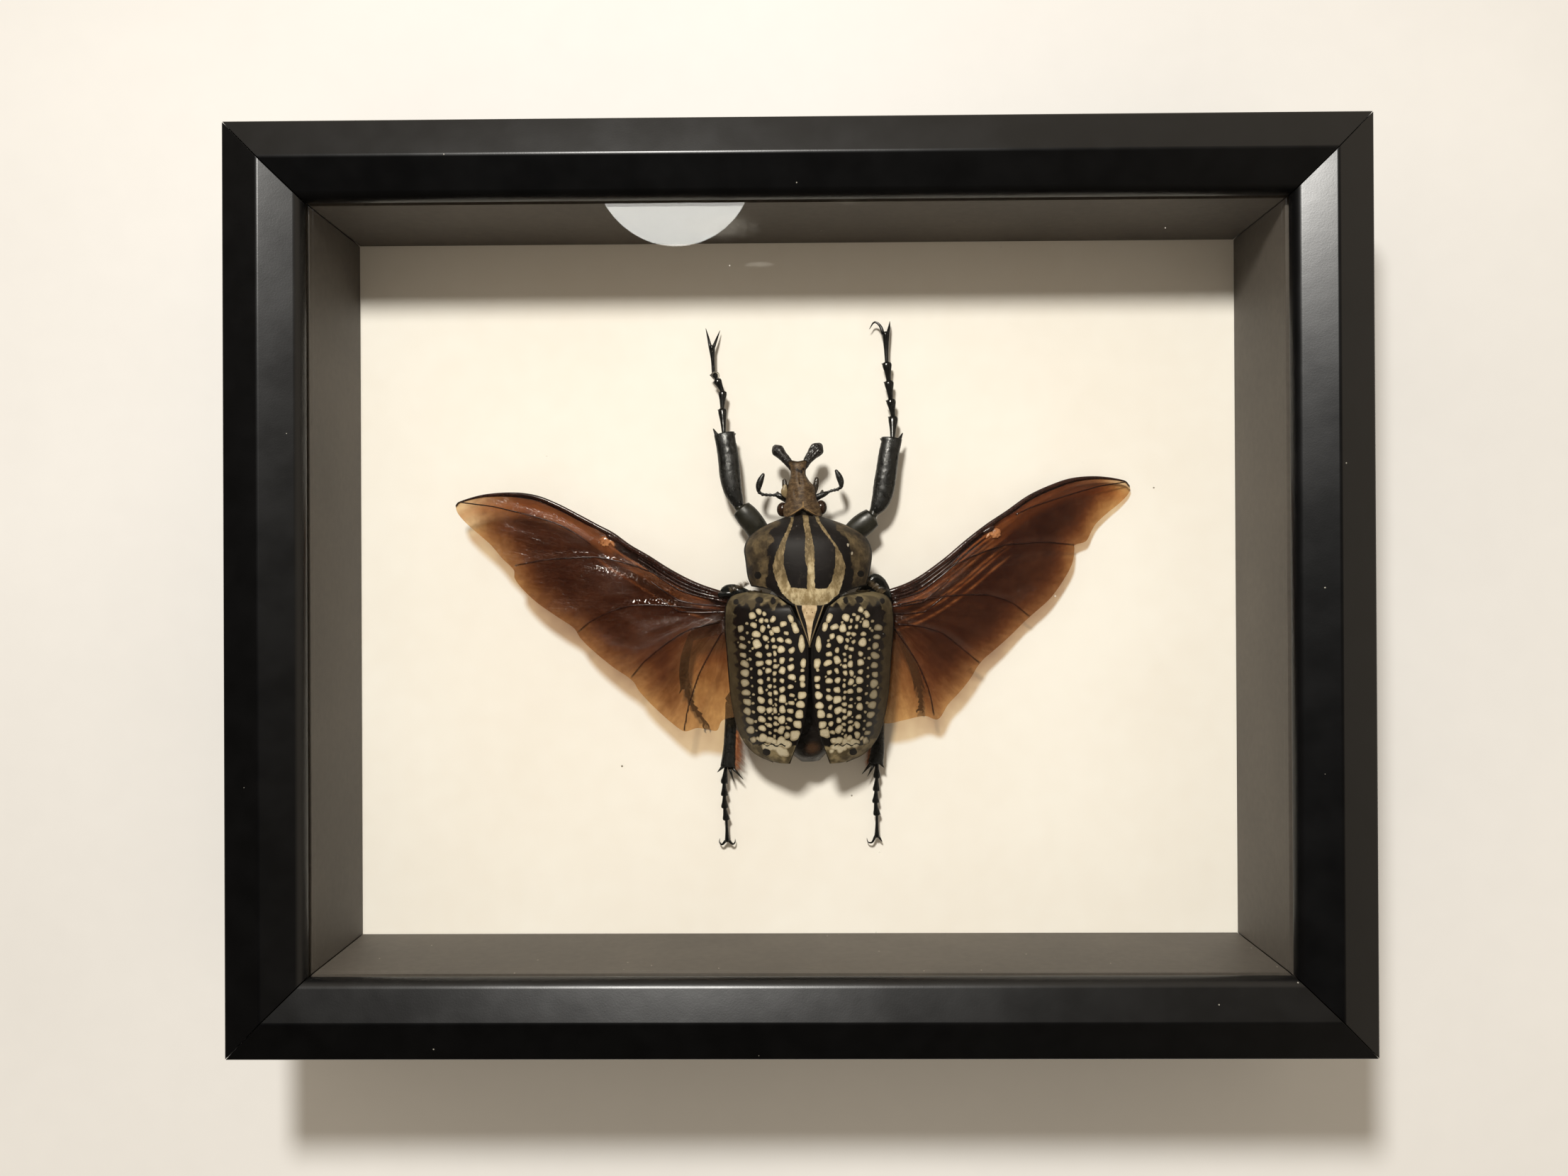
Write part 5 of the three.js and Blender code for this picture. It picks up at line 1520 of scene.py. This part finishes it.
wings = {
    "left": {
        "leading": [(-15.5, -3.4), (-19.6, -1.6), (-24.9, 0.3), (-28.9, 2.1), (-34.7, 5.3), (-39.8, 8.6),
                    (-44.6, 11.4), (-49.1, 14.7), (-52.7, 16.6), (-58.4, 19.7), (-64.2, 22.7),
                    (-69.9, 24.9), (-76.4, 25.7), (-84, 25.3), (-90.2, 23.6), (-91.5, 22.5)],
        "trailing": [(-16.5, -34.4), (-20.1, -35.4), (-21.5, -38), (-24.2, -37.6), (-26.8, -37.3),
                     (-30.2, -38.1), (-33.8, -35.7), (-37.8, -32.2), (-42.1, -27.5), (-44.2, -24.3),
                     (-49.3, -20.8), (-54, -17), (-57.8, -13.4), (-59.7, -10.5), (-64.4, -7.2),
                     (-69.5, -3.6), (-73.3, 0), (-75.4, 2.9), (-75.6, 5.1), (-78.7, 8.2), (-82, 12),
                     (-88, 17.2), (-90.6, 20), (-91.3, 21.4)],
        "height": [(-92, 10.4), (-50, 11.4), (-16, 10.8)],
        "hinge": (-17.5, -5.5),
        "joint": (-50.3, 13.3),
        "veins": [
            ([(-89.8, 23.3), (-81.1, 22.1), (-72.5, 20.0), (-64.4, 17.6), (-58.5, 14.4), (-55.1, 11.9)],
             0.10, 0.20),
            ([(-75.1, 6.3), (-66.7, 7.8), (-58.5, 8.3), (-52.4, 8.3), (-42.6, 5.8), (-31.2, 0.9),
              (-20.2, -3.5)], 0.10, 0.30),
            ([(-58.4, -11.5), (-55.2, -8.8), (-49.3, -6.0), (-43.6, -4.5), (-34.8, -4.6), (-20.2, -6.1)],
             0.10, 0.26),
            ([(-44.2, -23.7), (-40.6, -19.4), (-34.9, -14.8), (-29.0, -11.2), (-20.8, -9.0)], 0.10, 0.24),
            ([(-30.2, -37.8), (-29.1, -31.8), (-26.2, -23.0), (-22.5, -16.0), (-19.7, -11.3)], 0.12, 0.2),
        ],
        "crinkled": [  # centre, half size, turn: where the membrane is crumpled and catches the light
            ((-67.0, 11.5), (19, 3.0), -0.14), ((-71.0, 17.5), (13, 2.4), -0.35),
            ((-83.0, 18.5), (6, 3.2), -0.55), ((-62.5, 3.0), (12, 6.0), -0.35),
            ((-70.0, 0.5), (6, 3.0), -0.6), ((-46.0, -3.6), (12, 1.8), -0.12),
            ((-50.5, -8.5), (8, 3.2), -0.6), ((-33.0, -26.5), (3.0, 7.0), -0.5),
            ((-25.5, -26.0), (2.0, 5.0), -0.7), ((-35.0, 4.0), (13, 1.6), -0.52),
            ((-38.0, -0.5), (8, 3.0), -0.4),
        ],
        "glints": 1.0,
        # distance from the front edge and half width of each tan streak
        "streaks": [(3.2, 0.28), (5.2, 0.5), (7.9, 0.35)],
        "gold": 0.4,
        "core": 0.8,
    },
    "right": {
        "leading": [(17.5, -3.8), (21.4, -2.2), (25.2, -0.9), (29.5, 0.7), (34.1, 3.3), (40.2, 7.7),
                    (46.2, 12.7), (51.6, 16.8), (57.1, 20.4), (63, 24.5), (69.2, 27.4), (75.4, 29.4),
                    (82.6, 30), (89.4, 29.1), (91.4, 27.6)],
        "trailing": [(19.5, -35.0), (23.9, -36.5), (28.1, -35.7), (33.9, -34.6), (37.8, -35.5),
                     (40.6, -31.7), (43.5, -28.6), (46.6, -24.8), (49.2, -20.6), (53.2, -17.2),
                     (58.1, -13), (62.9, -8.4), (65.6, -6.1), (69, -3), (72, 1), (74.7, 5.7), (75.6, 9.4),
                     (75.7, 11.2), (78.9, 12.3), (80.5, 15), (81.9, 17.2), (85.1, 20.1), (88.2, 22.5),
                     (90.6, 24.8), (91.6, 26.4)],
        "height": [(17, 10.2), (26, 9.4), (55, 6.2), (92, 2.0)],
        "hinge": (22.5, -5.5),
        "joint": (53.0, 15.2),
        "veins": [
            ([(90.0, 28.5), (82.6, 27.3), (73.4, 24.7), (64.4, 21.8), (59.4, 19.5)], 0.10, 0.2),
            ([(75.5, 11.3), (67.3, 12.1), (61.2, 11.7), (55.9, 11.2), (45.4, 7.3), (33.7, 0.6),
              (25.6, -3.2)], 0.12, 0.30),
            ([(62.9, -8.0), (58.1, -4.3), (52.1, -2.3), (46.2, -2.1), (37.2, -2.8), (27.1, -4.7)],
             0.10, 0.26),
            ([(49.2, -20.6), (43.6, -15.9), (38.9, -12.3), (32.9, -10.5), (27.1, -9.9)], 0.12, 0.24),
            ([(36.7, -34.3), (35.3, -27.6), (32.3, -20.4), (28.2, -14.1), (25.9, -10.8)], 0.14, 0.26),
        ],
        "crinkled": [((62.0, -1.5), (3.0, 2.0), 0.3), ((77.0, 27.0), (7, 1.0), 0.35),
                     ((40.0, 3.0), (12, 1.8), 0.7)],
        "glints": 0.25,
        "streaks": [(2.1, 0.25), (3.2, 0.3), (4.4, 0.3), (5.4, 0.45), (7.6, 0.35), (8.6, 0.3),
                    (10.6, 0.35)],
        "gold": 0.6,
        "core": 0.9,
    },
    "grid": (300, 130),
    "thickness": 0.09,
    "rise": 0.11,  # of the veins over the membrane
    "frontVeins": [  # distance behind the front edge, radius, how far along the edge it goes
        (0.45, 0.78, 0.97), (1.55, 0.5, 0.36), (2.6, 0.42, 0.36), (3.7, 0.34, 0.342), (6.5, 0.28, 0.306),
        (9.3, 0.24, 0.288),
    ],
    "jointShare": 0.36,  # the fold's place along the edge
    "gristle": [(1.0, 0.9, 1.4), (-0.7, 0.9, 0.55)],  # shift, half length, half width
    "skin": [(0.0, paint(188, 150, 110)), (0.25, paint(136, 102, 74)), (0.55, paint(96, 64, 46)),
             (1.0, paint(54, 32, 23))],
    "through": [(0.0, paint(253, 240, 216)), (0.25, paint(236, 216, 190)), (0.55, paint(218, 184, 151)),
                (1.0, paint(190, 137, 108))],
    "cover": (0.11, 0.5),  # how much hides what is behind, from the thinnest to the darkest place
}


def wingHeight(side, x, y):
    parts = wings[side]
    out = -1 if side == "left" else 1
    places = sorted(parts["height"])
    h = np.interp(x, [p for p, _ in places], [q for _, q in places])
    hx, hy = parts["hinge"]
    angle = np.arctan2(y - hy, (x - hx) * out + 1e-6)
    reach = np.hypot(x - hx, y - hy)
    fade = np.clip(reach / 14, 0, 1)
    pleats = 0.42 * fade * np.sin(angle * 9.0 + 0.4) + 0.16 * fade * np.sin(angle * 23.0 + reach * 0.05)
    for points, _, _ in parts["veins"]:
        distance = lineDistance(x, y, points)
        ridge, groove = 0.22 * np.exp(-(distance / 0.9) ** 2), 0.14 * np.exp(-((distance - 2.2) / 1.2) ** 2)
        pleats = pleats + ridge - groove
    return h + pleats


def wingMaterial(side):
    glints = wings[side]["glints"]
    material, tree, shader = newMaterial("wing membrane " + side, IOR=1.5)
    where = inMillimetres(tree)
    fan = addNode(tree, "CombineXYZ", {0: field(tree, "fan"), 1: field(tree, "reach")}).outputs[0]
    stripes = cloud(tree, fan, 1.0, detail=5.0, rough=0.6)
    soft = useGroup(tree, mottle, Vector=where, Large=11.0, Small=1.6, Share=0.35)["Value"]
    depth = stepUp(tree, field(tree, "rim"), -0.5, 8.5, 0.36, 1.0)
    core = calc(tree, "MULTIPLY", depth, field(tree, "core"))
    vary = calc(tree, "MULTIPLY", calc(tree, "SUBTRACT", soft, 0.5), 0.55)
    line = calc(tree, "MULTIPLY", calc(tree, "SUBTRACT", stripes, 0.5), 0.4)
    dark = calc(tree, "ADD", calc(tree, "ADD", core, vary), line, clamp=True)
    skin = ramp(tree, dark, wings["skin"])
    through = ramp(tree, dark, wings["through"])
    ember = stepUp(tree, field(tree, "ember"), 0.0, 1.0, 0.0, 0.6)
    skin = blend(tree, ember, skin, paint(118, 66, 36))
    through = blend(tree, ember, through, paint(224, 176, 134))
    gold = calc(tree, "MULTIPLY", field(tree, "streak"), stepUp(tree, stripes, 0.4, 0.62, 0.1, 1.0))
    skin = blend(tree, gold, skin, paint(186, 122, 76))
    # the black border and vein lines, together with the painted shade at the wing root, in near-black
    inkAndRootShade = calc(tree, "ADD", field(tree, "inkAndRootShade"), calc(tree, "MULTIPLY", line, 0.3), clamp=True)
    skin = blend(tree, inkAndRootShade, skin, paint(22, 12, 12))
    tree.links.new(skin, shader["Base Color"])
    close = addNode(tree, "VectorMath", {0: fan, 1: (5.5, 0.9, 1)}, operation="MULTIPLY").outputs[0]
    crumple = cloud(tree, close, 1.0, detail=3.0, rough=0.6, twist=0.6)
    sharp = calc(tree, "MULTIPLY", calc(tree, "ABSOLUTE", calc(tree, "SUBTRACT", crumple, 0.5)), 4.0)
    patchy = calc(tree, "MULTIPLY", field(tree, "crinkle"),
                  stepUp(tree, cloud(tree, where, 0.5, detail=5.0), 0.4, 0.52))
    ridged = calc(tree, "MULTIPLY", sharp, patchy)
    height = weigh(tree, ridged, 3.4 * glints + 0.06, stripes, 0.2)
    tree.links.new(bump(tree, height, 0.2, 1.0), shader["Normal"])
    shader["Roughness"].default_value = 0.14
    shader["Specular IOR Level"].default_value = 0.5
    cover = stepUp(tree, dark, 0.0, 1.0, *wings["cover"])
    cover = calc(tree, "MAXIMUM", cover, inkAndRootShade)
    clear = addNode(tree, "BsdfTransparent", {"Color": through})
    body = tree.nodes["Principled BSDF"].outputs[0]
    both = addNode(tree, "MixShader", {0: cover, 1: clear.outputs[0], 2: body})
    tree.links.new(both.outputs[0], tree.nodes["Material Output"].inputs["Surface"])
    return material


def makeWing(side):
    parts = wings[side]
    out = -1 if side == "left" else 1
    leading, trailing = parts["leading"], parts["trailing"]
    surface = patch(trailing, leading, [trailing[0], leading[0]], [trailing[-1], leading[-1]])

    def place(u, v):
        flat = surface(u, v)
        return np.concatenate([flat, wingHeight(side, flat[:, 0], flat[:, 1])[:, None]], 1)

    mesh, u, v, spots = gridMesh("wing_" + side, *wings["grid"], place)
    x, y = spots[:, 0], spots[:, 1]
    front = smoothLine(leading)(np.linspace(0, 1, 70))
    back = smoothLine(trailing)(np.linspace(0, 1, 90))
    lead, rim = lineDistance(x, y, front), lineDistance(x, y, back)
    hx, hy = parts["hinge"]
    jx, jy = parts["joint"]
    reach = np.hypot(x - hx, y - hy)
    angle = np.arctan2(y - hy, (x - hx) * out + 1e-6)
    beyond = np.clip((x * out - jx * out) / 6, 0, 1)
    tipward = np.clip((x * out - 72) / 16, 0, 1)
    nearest = np.minimum.reduce([lineDistance(x, y, points) for points, _, _ in parts["veins"]])
    # core: how dark the membrane is, less so at the tip and towards the back
    rearward = np.clip((-y - 14) / 12, 0, 1) * np.clip((-4 - y) / 10, 0, 1)
    core = parts["core"] - 0.5 * tipward - 0.36 * rearward
    core = np.where(lead < 12, np.maximum(core, parts["core"] + 0.05 - 0.55 * tipward), core)
    rearPanel = np.clip((36 - x * out) / 6, 0, 1) * np.clip((-9 - y) / 6, 0, 1)
    core = core * (1 - 0.5 * rearPanel)
    # ink and root shade: the black border, the lines along the veins, and painted shade at the root
    edgeBand = 1.6 * (1 - 0.55 * tipward)
    inkAndRootShade = np.clip((edgeBand - lead) / 0.5, 0, 1) * beyond
    inkAndRootShade = np.maximum(inkAndRootShade, np.clip((4.2 - lead) / 0.8, 0, 1) * (1 - beyond) * 0.9)
    inkAndRootShade = np.maximum(inkAndRootShade, np.clip((0.22 - nearest) / 0.12, 0, 1))
    # painted shade: the membrane is darkened round the hinge, at the wing root
    paintedRootShade = np.clip((9 - reach) / 7, 0, 1) * 0.8
    inkAndRootShade = np.maximum(inkAndRootShade, paintedRootShade)
    # ember: the warm band behind the border, the tan streaks and the bright spot at the fold
    pastJoint = np.clip((x * out - jx * out + 2) / 3, 0, 1)
    ember = np.exp(-((lead - 3.6) / 1.7) ** 2) * pastJoint * (1 - tipward * 0.6)
    streak = np.zeros_like(x)
    for offset, width in parts["streaks"]:
        streak = np.maximum(streak, np.exp(-((lead - offset) / width) ** 2))
    streak = streak * (1 - beyond) * np.clip((reach - 4) / 6, 0, 1)
    ember = ember + streak
    ember = ember + 1.3 * np.exp(-(np.hypot(x - jx, y - jy + 1.0) / 2.2) ** 2)
    inkAndRootShade = inkAndRootShade * (1 - 0.85 * np.exp(-(np.hypot(x - jx - 0.4 * out, y - jy + 1.4) / 1.9) ** 2))
    inkAndRootShade = inkAndRootShade * (1 - 0.9 * streak)
    # crinkle: how strongly the membrane is crumpled
    crinkle = np.zeros_like(x) + 0.05
    for (cx, cy), (halfX, halfY), turn in parts["crinkled"]:
        px = (x - cx) * math.cos(turn) + (y - cy) * math.sin(turn)
        py = (y - cy) * math.cos(turn) - (x - cx) * math.sin(turn)
        crinkle = np.maximum(crinkle, np.exp(-((px / halfX) ** 2 + (py / halfY) ** 2)))
    carry(mesh, "fan", angle * 16.0)
    carry(mesh, "reach", reach * 0.16)
    carry(mesh, "rim", rim)
    carry(mesh, "core", core)
    carry(mesh, "inkAndRootShade", inkAndRootShade)
    carry(mesh, "ember", np.clip(ember, 0, 1))
    carry(mesh, "crinkle", crinkle)
    carry(mesh, "streak", streak * parts["gold"])
    piece = makePiece("wing_" + side, mesh, wingMaterial(side), "wing_membrane", "hindwing_" + side)
    thicken(piece, wings["thickness"])

    bm = bmesh.new()

    def onWing(points):
        points = np.array(points, float)
        return wingHeight(side, points[:, 0], points[:, 1])

    for points, thin, thick in parts["veins"]:
        line = smoothLine(points)(np.linspace(0.02, 1, 30))
        sizes = np.linspace(thin, thick, 30) * 0.75
        stations = zip(line, onWing(line) + wings["rise"], sizes)
        rows = [(px, py, h, size, size) for (px, py), h, size in stations]
        addLimb(bm, rows, steps=34, sides=8, blunt=0.5)
    edge = smoothLine(leading)
    for offset, radius, far in wings["frontVeins"]:
        share = np.linspace(0.02, far, 50)
        top = edge(share)
        low = surface(share, np.zeros_like(share))
        width = np.hypot(*(top - low).T)
        spread = np.interp(share, [0, 0.08, 0.2, wings["jointShare"], 1], [0.35, 0.6, 1.0, 0.85, 0.6])
        line = surface(share, 1 - offset * spread / width)
        size = radius * np.interp(share / far, [0, 0.3, 0.8, 1.0], [1.15, 1.0, 0.75, 0.3])
        rows = [(px, py, h + 0.12, s, s * 0.8) for (px, py), h, s in zip(line, onWing(line), size)]
        addLimb(bm, rows, steps=64, sides=10, blunt=0.5)
    knot = [(jx - 2.6 * out, jy - 0.6, 0.5), (jx - 0.6 * out, jy + 0.5, 0.8),
            (jx + 0.2 * out, jy + 1.1, 0.5)]
    rows = [(kx, ky, float(onWing([(kx, ky)])[0]) + 0.35, size, size * 0.7) for kx, ky, size in knot]
    addLimb(bm, rows, steps=12, sides=12, blunt=0.7)
    makePiece("veins_" + side, meshOf(bm), veins, "wing_membrane")
    bm = bmesh.new()
    for shift, run, wide in wings["gristle"]:
        start, end = jx + (shift - run) * out, jx + (shift + run) * out
        tan = [(start, jy - 1.9, 0.3), (jx + shift * out, jy - 0.7, wide), (end, jy - 1.3, 0.4)]
        rows = [(kx, ky, float(onWing([(kx, ky)])[0]) + 0.2, size, 0.32) for kx, ky, size in tan]
        addLimb(bm, rows, steps=18, sides=16, blunt=0.8)
    roughen(bm, bm.verts, 0.6, 0.14, seed=4.0)
    makePiece("wing_fold_" + side, meshOf(bm), gristle, "wing_membrane")


veins = blackShell("wing vein", paint(24, 13, 11), paint(60, 33, 25), rough=(0.14, 0.26), pitSpacing=1.4,
                   pitDepth=0.05)
gristle = blackShell("wing gristle", paint(128, 76, 45), paint(208, 146, 98), rough=(0.14, 0.26),
                     pitSpacing=0.5, pitDepth=0.05)
makeWing("left")
makeWing("right")
print("stage: wings")


# hairs: a comb of bristles on each hind leg and down on the shoulders

hairs = {
    "comb_left": {"from": (-17.0, -38.5), "to": (-17.4, -48.0), "height": 4.6, "lean": (0.64, -0.77),
                  "length": (2.6, 5.2), "count": 230, "thick": 0.045, "spread": 0.9},
    "comb_right": {"from": (20.4, -40.5), "to": (19.6, -47.4), "height": 4.4, "lean": (-0.5, -0.86),
                   "length": (1.4, 3.2), "count": 170, "thick": 0.045, "spread": 0.8},
    "down_left": {"from": (-12.6, 1.0), "to": (-17.4, -1.2), "height": 13.6, "lean": (-0.55, 0.6),
                  "length": (0.8, 1.8), "count": 220, "thick": 0.035, "spread": 1.0},
    "down_right": {"from": (18.2, 1.4), "to": (22.4, -1.8), "height": 13.8, "lean": (0.6, 0.45),
                   "length": (0.8, 1.8), "count": 220, "thick": 0.035, "spread": 1.0},
}


def hairMaterial(name, root, tip):
    material, tree, shader = newMaterial(name, Roughness=0.45)
    tone = cloud(tree, inMillimetres(tree), 0.7, detail=2.0)
    tree.links.new(ramp(tree, tone, [(0.35, root), (0.7, tip)]), shader["Base Color"])
    return material


def makeHairs(name, material, seed):
    parts = hairs[name]
    chance = random.Random(seed)
    bm = bmesh.new()
    lean = Vector((*parts["lean"], 0)).normalized()
    for _ in range(parts["count"]):
        share = chance.random()
        x = parts["from"][0] + share * (parts["to"][0] - parts["from"][0]) + chance.uniform(-0.35, 0.35)
        y = parts["from"][1] + share * (parts["to"][1] - parts["from"][1]) + chance.uniform(-0.3, 0.3)
        h = parts["height"] + chance.uniform(-0.6, 0.4)
        turn = Matrix.Rotation(chance.uniform(-0.35, 0.35) * parts["spread"], 3, "Z")
        ahead = (turn @ lean) * chance.uniform(*parts["length"])
        tip = (x + ahead.x, y + ahead.y, h + chance.uniform(-0.8, 0.5))
        addSpine(bm, (x, y, h), tip, parts["thick"], sides=3)
    makePiece(name, meshOf(bm, clean=False), material, "black_shell")


comb = hairMaterial("comb hair", paint(140, 72, 40), paint(214, 146, 94))
down = hairMaterial("down hair", paint(74, 60, 44), paint(150, 130, 98))
makeHairs("comb_left", comb, 5)
makeHairs("comb_right", comb, 6)
makeHairs("down_left", down, 7)
makeHairs("down_right", down, 8)


# a small clear ring of set glue round the left fore foot

glueRing = {"centre": (-21.95, 58.1, 3.9), "radius": 0.95, "thick": 0.2, "tilt": 0.35}


def makeGlueRing():
    material, tree, shader = newMaterial("set glue", Base_Color=paint(232, 228, 214), IOR=1.47,
                                         Roughness=0.06)
    shader["Transmission Weight"].default_value = 0.85
    wobble = cloud(tree, inMillimetres(tree), 0.5, detail=2.0)
    tree.links.new(bump(tree, wobble, 0.05, 0.6), shader["Normal"])
    bm = bmesh.new()
    upright = Matrix.Rotation(math.pi / 2, 4, "X")
    place = Matrix.Translation(Vector((glueRing["radius"] * mm, 0, 0))) @ upright
    ring = bmesh.ops.create_circle(bm, segments=14, radius=glueRing["thick"] * mm, matrix=place)
    edges = list({edge for vert in ring["verts"] for edge in vert.link_edges})
    bmesh.ops.spin(bm, geom=ring["verts"] + edges, cent=(0, 0, 0), axis=(0, 0, 1), angle=2 * math.pi,
                   steps=40, use_merge=True)
    bmesh.ops.rotate(bm, verts=bm.verts, cent=(0, 0, 0), matrix=Matrix.Rotation(glueRing["tilt"], 3, "X"))
    bmesh.ops.translate(bm, verts=bm.verts, vec=toWorld(*glueRing["centre"]))
    makePiece("glue_loop", meshOf(bm), material, "clear_glue", "glue_ring")


makeGlueRing()
print("stage: hairs and glue")
